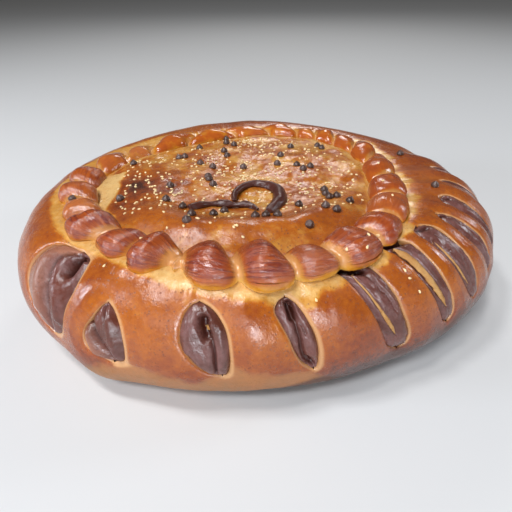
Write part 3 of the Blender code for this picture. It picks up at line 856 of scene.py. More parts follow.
class Bench:
    """Adds shader nodes to one tree."""

    def __init__(self, tree: NodeTree) -> None:
        """Keep the tree."""
        self.tree = tree

    def feed(self, node: Node, inputs: dict[Union[str, int], object]) -> None:
        """Set a node's inputs.

        Args:
            node: The node.
            inputs: For each input, by name or number, a value or the socket that feeds it.
        """
        for key, value in inputs.items():
            if isinstance(value, Socket):
                self.tree.links.new(value, node.inputs[key])
            else:
                node.inputs[key].default_value = value

    def add(self, kind: str, inputs: Optional[dict] = None, **settings: object) -> Node:
        """Add one node.

        Args:
            kind: The node's type.
            inputs: Its inputs, as feed takes them.
            settings: The node's own properties.

        Returns:
            The node.
        """
        node = self.tree.nodes.new(kind)
        for key, value in settings.items():
            setattr(node, key, value)
        self.feed(node, inputs or {})
        return node

    def noise(self, vector: Socket, scale: Number, detail: float = 3.0,
              roughness: float = 0.55, distortion: float = 0.0) -> Socket:
        """Add a noise texture and give its value."""
        return self.add("ShaderNodeTexNoise", {
            "Vector": vector, "Scale": scale, "Detail": detail, "Roughness": roughness,
            "Distortion": distortion}).outputs["Fac"]

    def sum(self, kind: str, first: Number, second: Number,
            clamp: bool = False) -> Socket:
        """Add a math node of this operation and give its value."""
        return self.add("ShaderNodeMath", {0: first, 1: second}, operation=kind,
                        use_clamp=clamp).outputs[0]

    def plus(self, first: Socket, second: Socket, clamp: bool = False) -> Socket:
        """Add two values."""
        return self.sum("ADD", first, second, clamp)

    def times(self, first: Socket, second: Number) -> Socket:
        """Multiply two values."""
        return self.sum("MULTIPLY", first, second)

    def between(self, value: Socket, low: Number, high: Number,
                start: float = 0.0, end: float = 1.0) -> Socket:
        """Ease a value from start at low to end at high."""
        return self.add("ShaderNodeMapRange", {
            "Value": value, "From Min": low, "From Max": high, "To Min": start, "To Max": end},
            interpolation_type="SMOOTHSTEP").outputs[0]

    def mix(self, share: Number, first: Union[Colour, Socket],
            second: Union[Colour, Socket]) -> Socket:
        """Mix two colours.

        Args:
            share: How much of the second shows.
            first: The first colour.
            second: The second colour.

        Returns:
            The mixed colour.
        """
        sockets = {0: share}
        for number, colour in ((6, first), (7, second)):
            sockets[number] = colour if isinstance(colour, Socket) else (*colour, 1.0)
        return self.add("ShaderNodeMix", sockets, data_type="RGBA").outputs[2]

    def ramp(self, value: Socket, stops: Sequence[tuple[float, Colour]]) -> Socket:
        """Turn a value into a colour.

        Args:
            value: The value.
            stops: Values from 0 to 1 and their colours, in order.

        Returns:
            The colour.
        """
        node = self.add("ShaderNodeValToRGB", {"Fac": value})
        elements = node.color_ramp.elements
        while len(elements) < len(stops):
            elements.new(1.0)
        for element, (place, colour) in zip(elements, stops):
            element.position = place
            element.color = (*colour, 1.0)
        return node.outputs["Color"]

    def attribute(self, name: str) -> Socket:
        """Read one of the piece's own masks."""
        return self.add("ShaderNodeAttribute", attribute_name=name).outputs["Fac"]

    def group(self, tree: NodeTree, **inputs: Number) -> Node:
        """Place a node group with its own values."""
        named = {name.replace("_", " "): value for name, value in inputs.items()}
        return self.add("ShaderNodeGroup", named, node_tree=tree)


FLOAT = "NodeSocketFloat"
VECTOR = "NodeSocketVector"


class GroupBench(Bench):
    """A bench on a new node group, which takes a place and some numbers and gives numbers."""

    def __init__(self, name: str, numbers: dict[str, float], results: Sequence[str]) -> None:
        """Start the group.

        Args:
            name: Its name.
            numbers: The numbers that it takes, with the values they start from.
            results: The numbers that it gives.
        """
        super().__init__(bpy.data.node_groups.new(name, "ShaderNodeTree"))
        sockets = self.tree.interface
        sockets.new_socket("Vector", in_out="INPUT", socket_type=VECTOR)
        for label, value in numbers.items():
            socket = sockets.new_socket(label, in_out="INPUT", socket_type=FLOAT)
            socket.default_value = value
        for label in results:
            sockets.new_socket(label, in_out="OUTPUT", socket_type=FLOAT)
        self.entry = self.add("NodeGroupInput").outputs
        self.place = self.entry["Vector"]

    def finish(self, **results: Socket) -> NodeTree:
        """Feed the group's results and give the group."""
        self.feed(self.add("NodeGroupOutput"), results)
        return self.tree


class Effects:
    """The node groups that several finishes share."""

    def __init__(self) -> None:
        """Build each group once."""
        self.mottle = self.build_mottle()
        self.freckles = self.build_freckles()
        self.skin = self.build_skin()
        self.streaks = self.build_streaks()

    def build_mottle(self) -> NodeTree:
        """Uneven baking: broad and small patches, from -1 to 1.

        Returns:
            The group.
        """
        bench = GroupBench("Uneven Baking",
                           {"Broad Scale": 30.0, "Fine Scale": 220.0, "Fine Share": 0.4}, ["Value"])
        broad = bench.noise(bench.place, bench.entry["Broad Scale"], 3.0, 0.6, 0.6)
        fine = bench.noise(bench.place, bench.entry["Fine Scale"], 4.0, 0.65)
        fine = bench.times(bench.sum("SUBTRACT", fine, 0.5), bench.entry["Fine Share"])
        both = bench.plus(bench.sum("SUBTRACT", broad, 0.5), fine)
        return bench.finish(Value=bench.times(both, 3.2))

    def build_freckles(self) -> NodeTree:
        """Fine dark specks in the crust, thicker in patches.

        Returns:
            The group.
        """
        bench = GroupBench("Crust Freckles", {"Scale": 900.0, "Amount": 0.5}, ["Mask"])
        cells = bench.add("ShaderNodeTexVoronoi",
                          {"Vector": bench.place, "Scale": bench.entry["Scale"]})
        dots = bench.between(cells.outputs["Distance"], 0.45, 0.12)
        patches = bench.between(bench.noise(bench.place, 260.0, 4.0, 0.75), 0.44, 0.60)
        return bench.finish(Mask=bench.times(bench.times(dots, patches), bench.entry["Amount"]))

    def build_skin(self) -> NodeTree:
        """Height of the baked skin: small blisters and a fine grain.

        Returns:
            The group.
        """
        bench = GroupBench(
            "Baked Skin", {"Blister Scale": 260.0, "Grain Scale": 1150.0, "Grain Share": 0.45},
            ["Height"])
        blisters = bench.noise(bench.place, bench.entry["Blister Scale"], 3.0, 0.5)
        grain = bench.noise(bench.place, bench.entry["Grain Scale"], 3.0, 0.6)
        return bench.finish(
            Height=bench.plus(blisters, bench.times(grain, bench.entry["Grain Share"])))

    def build_streaks(self) -> NodeTree:
        """Streaks where the skin of the dough was drawn out, along the first axis.

        Returns:
            The group.
        """
        bench = GroupBench("Stretched Skin",
                           {"Along": 1.4, "Across": 26.0, "Low": 0.45, "High": 0.62},
                           ["Mask", "Height"])
        stretch = bench.add("ShaderNodeCombineXYZ", {
            0: bench.entry["Along"], 1: bench.entry["Across"], 2: 1.0}).outputs[0]
        drawn = bench.add("ShaderNodeVectorMath", {0: bench.place, 1: stretch},
                          operation="MULTIPLY").outputs[0]
        lines = bench.noise(drawn, 1.0, 4.0, 0.7, 0.9)
        mask = bench.between(lines, bench.entry["Low"], bench.entry["High"])
        return bench.finish(Mask=mask, Height=lines)


@dataclass(frozen=True)
class Surface:
    """Gloss and relief of a finish.

    Its roughness runs from the smooth to the rough value.  The bump's height is in metres.  The
    other values are the same all over and are set straight on the shader.
    """

    smooth: float
    rough: float
    bump: float
    bump_height: float
    coat: float
    coat_roughness: float = 0.16
    ior: float = 1.45
    specular: float = 0.5


class FinishBench(Bench):
    """A bench on a new material, with the shared effects at hand."""

    def __init__(self, name: str, surface: Surface, effects: Effects) -> None:
        """Start the material.

        Args:
            name: Its name.
            surface: Its gloss and relief.
            effects: The node groups that it may use.
        """
        self.material = bpy.data.materials.new(name)
        self.material.use_nodes = True
        super().__init__(self.material.node_tree)
        self.surface = surface
        self.effects = effects
        self.shader = self.tree.nodes["Principled BSDF"]
        self.feed(self.shader, {
            "Coat Weight": surface.coat, "Coat Roughness": surface.coat_roughness,
            "IOR": surface.ior, "Specular IOR Level": surface.specular})
        coordinates = self.add("ShaderNodeTexCoord").outputs
        self.place = coordinates["Object"]
        self.unrolled = coordinates["UV"]

    def mottle(self, **values: float) -> Socket:
        """Give the uneven baking."""
        return self.group(self.effects.mottle, Vector=self.place, **values).outputs["Value"]

    def freckles(self, **values: float) -> Socket:
        """Give the mask of the freckles."""
        return self.group(self.effects.freckles, Vector=self.place, **values).outputs["Mask"]

    def skin(self, **values: float) -> Socket:
        """Give the height of the skin."""
        return self.group(self.effects.skin, Vector=self.place, **values).outputs["Height"]

    def roughness(self, value: Socket, low: float, high: float) -> Socket:
        """Run the roughness from smooth to rough while a value goes from low to high."""
        return self.between(value, low, high, self.surface.smooth, self.surface.rough)

    def finish(self, colour: Socket, roughness: Socket, height: Socket) -> Material:
        """Feed the shader.

        Args:
            colour: The finish's colour.
            roughness: Its roughness.
            height: Its relief, as shares of the bump's height.

        Returns:
            The material.
        """
        bump = self.add("ShaderNodeBump", {
            "Strength": self.surface.bump, "Distance": self.surface.bump_height, "Height": height})
        self.feed(self.shader, {
            "Base Color": colour, "Roughness": roughness, "Normal": bump.outputs["Normal"]})
        return self.material


@dataclass(frozen=True)
class GoldenCrust:
    """Egg-washed golden crust, cream where it is sheltered and dark brown where it is baked most.

    The piece's masks are bake (0 to 1, which at the side's low right also carries painted shade),
    lip (1 at a cut edge), dry (1 where no egg wash came) and burnt (1 under the foot).
    """

    name: str = "golden crust"
    cream: Colour = (0.74, 0.47, 0.18)
    tan: Colour = (0.58, 0.265, 0.045)
    orange: Colour = (0.41, 0.106, 0.008)
    russet: Colour = (0.25, 0.048, 0.008)
    burnt: Colour = (0.060, 0.017, 0.010)
    lip: Colour = (0.60, 0.31, 0.13)
    dry: Colour = (0.44, 0.205, 0.065)
    freckle: Colour = (0.15, 0.034, 0.009)
    mottle_share: float = 0.13
    dry_share: float = 0.55
    # What dry dough and freckles add to the roughness, and how deep the freckles go.
    dulled: float = 0.3
    pitted: float = 0.3
    surface: Surface = Surface(0.17, 0.36, 0.9, 0.32 * MM, 0.06, 0.24, specular=0.75)

    def material(self, effects: Effects) -> Material:
        """Build the crust's material.

        Args:
            effects: The shared node groups.

        Returns:
            The material.
        """
        bench = FinishBench(self.name, self.surface, effects)
        baked = bench.attribute("bake")
        mottle = bench.mottle(Fine_Scale=330.0, Fine_Share=1.1)
        colour = bench.ramp(bench.plus(baked, bench.times(mottle, self.mottle_share)), (
            (0.02, self.cream), (0.27, self.tan), (0.52, self.orange), (0.78, self.russet),
            (1.0, self.burnt)))
        freckles = bench.times(bench.freckles(Scale=600.0, Amount=0.85),
                               bench.between(baked, 0.15, 0.45, 0.45, 1.0))
        colour = bench.mix(freckles, colour, self.freckle)
        dry = bench.attribute("dry")
        colour = bench.mix(bench.times(dry, self.dry_share), colour, self.dry)
        colour = bench.mix(bench.attribute("lip"), colour, self.lip)
        colour = bench.mix(bench.attribute("burnt"), colour, self.burnt)
        roughness = bench.roughness(bench.noise(bench.place, 45.0, 3.0, 0.6), 0.36, 0.66)
        for dull in (dry, freckles):
            roughness = bench.plus(roughness, bench.times(dull, self.dulled), clamp=True)
        height = bench.sum("SUBTRACT", bench.skin(Grain_Share=0.4),
                           bench.times(freckles, self.pitted))
        return bench.finish(colour, roughness, height)


@dataclass(frozen=True)
class BorderCrust:
    """Red-brown glossy crust of the twisted strip, amber below, with stretch streaks.

    The piece's masks are bake, pinch (1 at a twist) and streak (1 where the skin was drawn out).
    Its UV map runs along and round the strip.
    """

    name: str = "border crust"
    cream: Colour = (0.74, 0.43, 0.10)
    amber: Colour = (0.62, 0.25, 0.014)
    orange: Colour = (0.43, 0.092, 0.008)
    russet: Colour = (0.26, 0.038, 0.010)
    streak: Colour = (0.15, 0.014, 0.005)
    pinch: Colour = (0.58, 0.27, 0.11)
    mottle_share: float = 0.13
    ridge_share: float = 3.2
    surface: Surface = Surface(0.12, 0.24, 0.8, 0.34 * MM, 0.12, specular=1.0)

    def material(self, effects: Effects) -> Material:
        """Build the border's material.

        Args:
            effects: The shared node groups.

        Returns:
            The material.
        """
        bench = FinishBench(self.name, self.surface, effects)
        mottle = bench.mottle(Broad_Scale=85.0, Fine_Share=0.8)
        bake = bench.plus(bench.attribute("bake"), bench.times(mottle, self.mottle_share))
        colour = bench.ramp(bake, (
            (0.02, self.cream), (0.30, self.amber), (0.58, self.orange), (0.92, self.russet)))
        drawn = bench.group(effects.streaks, Vector=bench.unrolled, Along=1.3, Across=42.0,
                            Low=0.44, High=0.62)
        streaked = bench.attribute("streak")
        patches = bench.between(bench.noise(bench.place, 110.0, 3.0, 0.6), 0.36, 0.60, 0.35, 1.0)
        streaks = bench.times(bench.times(drawn.outputs["Mask"], streaked), patches)
        colour = bench.mix(streaks, colour, self.streak)
        colour = bench.mix(bench.attribute("pinch"), colour, self.pinch)
        roughness = bench.roughness(bench.noise(bench.place, 90.0, 3.0, 0.6), 0.3, 0.75)
        ridges = bench.times(bench.times(drawn.outputs["Height"], self.ridge_share), streaked)
        height = bench.plus(bench.skin(Grain_Share=0.2), ridges)
        return bench.finish(colour, roughness, height)


@dataclass(frozen=True)
class CocoaCrust:
    """Satin cocoa crust: grey-purple on its swells, partly a painted bluish sheen, red-brown and
    glossy in its hollows, where painted shade darkens it.

    The piece's masks are the dark mask (1 in a hollow, where it is painted shade, and high all over
    the curl, whose dough is dark) and tan (1 where golden dough still covers it).
    """

    name: str = "cocoa crust"
    # Grey-purple, partly the dough's own colour and partly a painted bluish sheen.
    grey_purple_and_sheen: Colour = (0.175, 0.072, 0.064)
    brown: Colour = (0.090, 0.024, 0.014)
    # Dark red-brown: painted shade in the hollows, the curl's own dark dough and the freckles.
    deep: Colour = (0.055, 0.010, 0.005)
    red: Colour = (0.15, 0.036, 0.020)
    tan: Colour = (0.32, 0.125, 0.072)
    blush_share: float = 0.55
    surface: Surface = Surface(0.20, 0.36, 0.9, 0.36 * MM, 0.08, 0.2, specular=0.7)

    def material(self, effects: Effects) -> Material:
        """Build the cocoa crust's material.

        Args:
            effects: The shared node groups.

        Returns:
            The material.
        """
        bench = FinishBench(self.name, self.surface, effects)
        mottle = bench.mottle(Broad_Scale=55.0, Fine_Scale=420.0)
        # Brown mottled with the grey-purple, whose bluish part is painted sheen.
        colour = bench.mix(bench.between(mottle, -0.6, 0.6), self.brown, self.grey_purple_and_sheen)
        blush = bench.between(bench.noise(bench.place, 38.0, 2.0, 0.5), 0.50, 0.72, 0.0,
                              self.blush_share)
        colour = bench.mix(blush, colour, self.red)
        colour = bench.mix(bench.attribute("tan"), colour, self.tan)
        # Painted shade: the colour turns dark red-brown where the dark mask is high.
        deep = bench.attribute("deep")
        colour = bench.mix(bench.between(deep, 0.05, 0.75), colour, self.deep)
        colour = bench.mix(bench.freckles(Scale=700.0, Amount=0.5), colour, self.deep)
        sheen = bench.roughness(bench.noise(bench.place, 70.0, 3.0, 0.6), 0.35, 0.65)
        roughness = bench.plus(sheen, bench.times(deep, 0.1), clamp=True)
        return bench.finish(colour, roughness, bench.skin(Blister_Scale=330.0))


@dataclass(frozen=True)
class PlainCrumb:
    """Dull cream crumb of the core, with fine pores and a browned edge (the piece's mask edge)."""

    name: str = "plain crumb"
    pale: Colour = (0.56, 0.32, 0.12)
    toasted: Colour = (0.42, 0.19, 0.055)
    pore: Colour = (0.34, 0.15, 0.05)
    surface: Surface = Surface(0.5, 0.75, 0.8, 0.5 * MM, 0.0, specular=0.2)

    def material(self, effects: Effects) -> Material:
        """Build the crumb's material.

        Args:
            effects: The shared node groups.

        Returns:
            The material.
        """
        bench = FinishBench(self.name, self.surface, effects)
        mottle = bench.mottle(Broad_Scale=120.0, Fine_Scale=600.0)
        colour = bench.mix(bench.between(mottle, -0.7, 0.9), self.pale, self.toasted)
        colour = bench.mix(bench.freckles(Scale=1100.0, Amount=0.9), colour, self.pore)
        colour = bench.mix(bench.attribute("edge"), colour, self.toasted)
        return bench.finish(colour, bench.roughness(mottle, -1.0, 1.0),
                            bench.skin(Blister_Scale=500.0))


@dataclass(frozen=True)
class DarkChocolate:
    """Chocolate drops that have lost some of their shine in the oven."""

    name: str = "dark chocolate"
    dark: Colour = (0.048, 0.020, 0.013)
    bloom: Colour = (0.120, 0.066, 0.052)
    surface: Surface = Surface(0.32, 0.5, 0.35, 0.3 * MM, 0.4, 0.28)

    def material(self, effects: Effects) -> Material:
        """Build the chocolate's material.

        Args:
            effects: The shared node groups.

        Returns:
            The material.
        """
        bench = FinishBench(self.name, self.surface, effects)
        mottle = bench.mottle(Broad_Scale=150.0, Fine_Scale=900.0)
        colour = bench.mix(bench.between(mottle, -0.5, 0.9), self.dark, self.bloom)
        return bench.finish(colour, bench.roughness(mottle, -0.8, 0.8),
                            bench.skin(Blister_Scale=700.0))


@dataclass(frozen=True)
class SesameHusk:
    """Hulled sesame, cream to lightly toasted, as each seed's own mask toast says."""

    name: str = "sesame"
    pale: Colour = (0.93, 0.76, 0.44)
    toasted: Colour = (0.76, 0.44, 0.15)
    surface: Surface = Surface(0.35, 0.5, 0.2, 0.2 * MM, 0.2, 0.3, specular=0.4)

    def material(self, effects: Effects) -> Material:
        """Build the seeds' material.

        Args:
            effects: The shared node groups.

        Returns:
            The material.
        """
        bench = FinishBench(self.name, self.surface, effects)
        mottle = bench.mottle(Broad_Scale=180.0, Fine_Scale=1500.0)
        colour = bench.mix(bench.attribute("toast"), self.pale, self.toasted)
        colour = bench.mix(bench.between(mottle, 0.2, 1.2, 0.0, 0.4), colour, self.toasted)
        return bench.finish(colour, bench.roughness(mottle, -0.8, 0.8),
                            bench.skin(Blister_Scale=1500.0))


# ---- the golden dough


@dataclass
class GoldenDough:
    """The outer crust: the side with its slits and rolled lips, and the crown inside the border."""

    form: LoafForm
    row: SlitRow
    strip_columns: int = 34
    base_rows: int = 6
    side_rows: int = 92
    top_rows: int = 14
    # Latitude above which the rows run in under the border, and how far they go.
    shoulder: float = 72.0
    under_border: float = 3.0 * MM
    # Share of a strip's columns that crowd at its slits.
    crowding: float = 0.55
    # The crust's cut walls are this deep where a slit is open this many degrees each way.
    wall_depth: float = 6.5 * MM
    wall_from: float = 0.01
    wall_full: float = 0.7
    side_lumps: Layers = ((0.5, 26, 3), (0.15, 9, 4), (0.05, 3.5, 7))
    # Small folds beside the border: distance from its line, reach, radius round the loaf.
    folds_off: float = 15 * MM
    folds_reach: float = 7 * MM
    folds_round: float = 137 * MM
    crown_columns: int = 280
    crown_rows: int = 100
    crown_crowding: float = 0.75
    # The crown's rim turns down under the border from this share of its reach.
    rim_from: float = 0.955
    rim_depth: float = 1.2 * MM
    crown_broad: Layers = ((1.3, 24, 21), (0.95, 11, 22))
    crown_fine: Layers = ((0.45, 5.0, 23), (0.20, 2.4, 24))
    # Azimuth and latitude of the line below which the side carries no egg wash.
    wash_line: tuple[Pair, ...] = (
        (-180, -30), (-100, -34), (-62, -36), (-48, -30), (-38, -24), (-31, -10), (-27, 0),
        (-24.7, -2), (-21.6, -3), (-18.7, -5.5), (-15.9, -9.5), (-14.3, -15), (-12.5, -18),
        (-10.8, -13), (-8.9, -6), (-5.8, 0.5), (-4.9, 4), (-3.4, 0.5), (-0.9, -4.5), (2.2, -7),
        (6.6, -8), (10, -12), (14, -20), (18, -34), (30, -38), (48, -36), (70, -34), (120, -30),
        (180, -30))
    # Azimuth and latitude of the line below which the foot is baked dark.
    burnt_line: tuple[Pair, ...] = (
        (-180, -72), (-60, -70), (-20, -60), (-6, -46), (4, -32), (12, -20), (18, -14), (34, -12),
        (48, -16), (62, -30), (80, -56), (110, -70), (180, -72))

    def build(self, material: Material) -> list[Object]:
        """Build the side and the crown."""
        return [finish_piece(name, mesh, material, Slot.GOLDEN, "golden_dough")
                for name, mesh in (("crust_side", self.side_mesh()),
                                   ("crust_crown", self.crown_mesh()))]

    def top_station(self, azimuth: Array) -> Array:
        """Find where the side ends, just inside the border's line.

        Args:
            azimuth: Azimuths in degrees.

        Returns:
            The station at each azimuth.
        """
        around = np.linspace(-180, 180, 721)
        ring = self.form.ring
        x, y = ring.at(around, ring.radius_at(around) - self.under_border)
        seen = np.degrees(np.arctan2(x, -y)) % 360
        order = np.argsort(seen)
        radius = np.interp(azimuth % 360, seen[order], np.hypot(x, y)[order], period=360)
        stations = np.linspace(0.42, 0.999, 400)
        plain = self.form.profile(stations)[0]
        return np.interp(-radius / outline(azimuth, self.form.waves), -plain, stations)

    def rows(self, place: Array, azimuth: Array) -> Array:
        """Share the rows out between the base, the side and the top.

        Args:
            place: Places from 0 at the base's middle to 1 under the border.
            azimuth: Their azimuths.

        Returns:
            Their stations.
        """
        row = place * (self.base_rows + self.side_rows + self.top_rows)
        foot, shoulder = self.form.foot_station, self.form.station(self.shoulder)
        under = 1 - (1 - np.clip(row / self.base_rows, 0, 1)) ** 2
        side = np.clip((row - self.base_rows) / self.side_rows, 0, 1)
        top = np.clip((row - self.base_rows - self.side_rows) / self.top_rows, 0, 1)
        top_part = (self.top_station(azimuth) - shoulder) * top
        return foot * under + (shoulder - foot) * side + top_part

    def edges(self, number: Array, latitude: Array) -> tuple[Array, Array, Array]:
        """Give the azimuths between which a strip of crust runs, and where it borders a slit.

        Args:
            number: Which strip, by the slit on its left.
            latitude: Latitudes of the points.

        Returns:
            Azimuths of its left and right edge, and how open the slit is at each, two columns.
        """
        slits = self.row.in_order()
        left = np.zeros_like(latitude)
        right = np.zeros_like(latitude)
        opening = np.zeros((len(latitude), 2))
        for index, slit in enumerate(slits):
            following = slits[(index + 1) % len(slits)]
            mine = number == index
            opening[mine, 0] = slit.half_turn(latitude[mine])
            opening[mine, 1] = following.half_turn(latitude[mine])
            left[mine] = slit.middle(latitude[mine]) + opening[mine, 0]
            right[mine] = following.middle(latitude[mine]) - opening[mine, 1]
        return left, left + (right - left) % 360, opening

    def side_mesh(self) -> Mesh:
        """Make the crust from the middle of the base to under the border.

        Returns:
            The mesh, with its masks.
        """
        rows = self.base_rows + self.side_rows + self.top_rows
        mesh, spots = grid_mesh("crust_side", self.strip_columns, rows, len(self.row.slits))
        column = spots[:, 1] * self.strip_columns
        share = np.clip((column - 1) / (self.strip_columns - 2), 0, 1)
        crowded = 0.5 - 0.5 * np.cos(np.pi * share)
        share = (1 - self.crowding) * share + self.crowding * crowded
        latitude = np.zeros_like(share)
        # Azimuth and latitude depend on each other, and settle in a few rounds.
        for _ in range(4):
            left, right, opening = self.edges(spots[:, 0], latitude)
            azimuth = left + share * (right - left)
            station = self.rows(spots[:, 2], azimuth)
            latitude = self.form.latitude(station)
        distance, lip = self.row.beside(azimuth, latitude)
        inside = np.where(column < 0.5, opening[:, 0], 0.0)
        inside = np.where(column > self.strip_columns - 0.5, opening[:, 1], inside)
        wall = inside > self.wall_from
        flat = self.form.place(azimuth, station, np.zeros_like(distance))
        rough = layered(flat, self.side_lumps) + self.border_folds(flat, azimuth)
        depth = self.row.crust_depth(distance) + rough * MM * smooth_step(latitude, -90, -78)
        depth = np.where(latitude > -90, depth, 0.0)
        sunk = np.maximum(depth, self.wall_depth * smooth_step(inside, 0, self.wall_full))
        points = self.form.place(azimuth, station, np.where(wall, sunk, depth))
        points[:, 2] = np.maximum(points[:, 2], 0.0)
        move_points(mesh, points)
        self.dress_side(mesh, flat, azimuth, latitude, distance, np.where(wall, 0.3, 0.85 * lip))
        weld(mesh)
        return mesh

    def border_folds(self, points: Array, azimuth: Array) -> Array:
        """Fold the dough where it is drawn up to the border.

        Args:
            points: Places on the side.
            azimuth: Their azimuths.

        Returns:
            How deep the folds go, in millimetres.
        """
        off_ring, _, _ = self.form.ring.offset(points[:, 0], points[:, 1])
        turn = np.radians(azimuth)
        around = np.stack([self.folds_round * np.sin(turn), -self.folds_round * np.cos(turn),
                           off_ring * 0.35], 1)
        return 0.5 * hump(off_ring, self.folds_off, self.folds_reach) * lumps(around, 3 * MM, 8)

    def beside_border(self, points: Array) -> tuple[Array, Array]:
        """Find the pale dough beside the border, broad at the left and ragged at the right.

        Args:
            points: Places on the side.

        Returns:
            How pale each is, and how far round to the left it lies, both from 0 to 1.
        """
        off_ring, _, ring_azimuth = self.form.ring.offset(points[:, 0], points[:, 1])
        round_ring = turn_between(ring_azimuth, 0)
        left = smooth_step(-round_ring, 20, 80)
        right = hump(turn_between(ring_azimuth, 85), 0, 35)
        ragged = layered(points, ((3.5, 14, 11), (1.5, 5, 14)))
        ragged = ragged + right * (5.0 * lumps(points, 8 * MM, 17) - 2.5)
        reach = 13.5 + 6.0 * left * smooth_step(180 + round_ring, 0, 60)
        return 1 - smooth_step(off_ring / MM + ragged, reach - 1.0, reach + 3.5), left

    def dress_side(self, mesh: Mesh, points: Array, azimuth: Array, latitude: Array,
                   distance: Array, lip: Array) -> None:
        """Write how much each point of the side is baked, washed, cut and burnt, with painted shade
        at the low right.

        Args:
            mesh: The side's mesh.
            points: Its points before they were made uneven.
            azimuth: Their azimuths.
            latitude: Their latitudes.
            distance: Their distances from the nearest slit.
            lip: How much of the cut lip shows at each.
        """
        pale, left = self.beside_border(points)
        bake = 0.62 + layered(points, ((0.05, 38, 12), (0.05, 11, 13)))
        # Darker towards the bottom and round to the right.
        bake = bake + 0.20 * smooth_step(-latitude, -30, 30)
        bake = bake + 0.08 * smooth_step(turn_between(azimuth, 20), 0, 30)
        # Painted shade: the low right of the side is drawn darker through the bake mask.
        low_right_shade = hump(turn_between(azimuth, 40), 0, 32) * smooth_step(-latitude, -25, 15)
        bake = bake + 0.12 * low_right_shade
        bake = bake * (1 - pale) + (0.14 + 0.10 * left) * pale
        bake = bake - 0.08 * hump(distance, 0, 5 * MM) * (1 - pale)
        wash = level_of(self.wash_line, azimuth) + layered(points, ((4.0, 12, 15), (2.5, 4, 16)))
        burnt = level_of(self.burnt_line, azimuth) + 6 * lumps(points, 12 * MM, 6)
        write_masks(mesh, bake=np.clip(bake, 0, 1.2), lip=lip,
                    dry=smooth_step(wash - latitude, -3.5, 4.0),
                    burnt=0.85 * smooth_step(burnt - latitude, 0, 9))

    def crown_mesh(self) -> Mesh:
        """Make the crown out to the border's line.

        Returns:
            The mesh, with its masks.
        """
        mesh, spots = grid_mesh("crust_crown", self.crown_columns, self.crown_rows)
        azimuth = 360 * spots[:, 1]
        reach = self.form.ring.radius_at(azimuth) * spots[:, 2] ** self.crown_crowding
        x, y = self.form.ring.at(azimuth, reach)
        points = np.stack([x, y, self.form.crown_height + self.form.crown_relief(x, y)], 1)
        points[:, 2] += self.crown_unevenness(points) * MM
        points[:, 2] -= self.rim_depth * smooth_step(spots[:, 2], self.rim_from, 1.0)
        move_points(mesh, points)
        self.dress_crown(mesh, points)
        weld(mesh)
        return mesh

    def crown_unevenness(self, points: Array) -> Array:
        """Make the crown uneven, but smoother in front.

        Args:
            points: Places on the crown.

        Returns:
            How far each stands up, in millimetres.
        """
        flat = points * np.array([1.0, 1.0, 0.0])
        smooth = hump(points[:, 1] / MM, -80, 16)
        fine = layered(flat, self.crown_fine) * (1 - 0.75 * smooth)
        return layered(flat, self.crown_broad) + fine

    def dress_crown(self, mesh: Mesh, points: Array) -> None:
        """Write how much each point of the crown is baked.

        Args:
            mesh: The crown's mesh.
            points: Its points.
        """
        x = points[:, 0] / MM
        y = points[:, 1] / MM
        off_ring, _, _ = self.form.ring.offset(points[:, 0], points[:, 1])
        flat = points * np.array([1.0, 1.0, 0.0])
        bake = 0.47 + layered(flat, ((0.22, 20, 31), (0.20, 8, 32), (0.12, 3.5, 37)))
        # The patch at the left that is baked most.
        dark = np.exp(-(((x + 76) / 28) ** 2 + ((y + 30) / 36) ** 2) ** 1.5)
        bake = bake + 0.52 * dark * (0.85 + 0.3 * lumps(flat, 12 * MM, 33))
        # The ridge in front, russet from side to side.
        ridge = 0.6 * hump(y - 0.10 * np.abs(x), -82, 15) * np.exp(-((x / 82) ** 6))
        bake = bake * (1 - ridge) + (0.76 + 0.08 * lumps(flat, 8 * MM, 38)) * ridge
        # The amber hollows of the curl.
        amber = 0.8 * np.maximum(hump(x, -2, 12) * hump(y, -46, 13),
                                 hump(x, -18, 18) * hump(y, -66, 6))
        bake = bake * (1 - amber) + 0.28 * amber
        # The pale dough inside the border, broader behind, and the bare corner at the left.
        back = smooth_step(y, -40, 60)
        inner = off_ring / MM + layered(flat, ((2.5, 12, 34), (1.5, 5, 36)))
        pale = smooth_step(inner, -14.5 - 6 * back, -10.5 - 4 * back)
        bake = bake * (1 - pale) + (0.16 + 0.32 * smooth_step(-y, 40, 90)) * pale
        corner = np.maximum(-(x + 91), -(x + 79) - 0.9 * np.abs(y + 74))
        bare = smooth_step(corner + 2.5 * lumps(flat, 9 * MM, 35), 0, 3) * (y < -2)
        bake = bake * (1 - bare) + 0.05 * bare
        write_masks(mesh, bake=np.clip(bake, 0, 1.1), lip=0 * x, dry=0.12 * bare, burnt=0 * x)


# ---- cocoa and cream


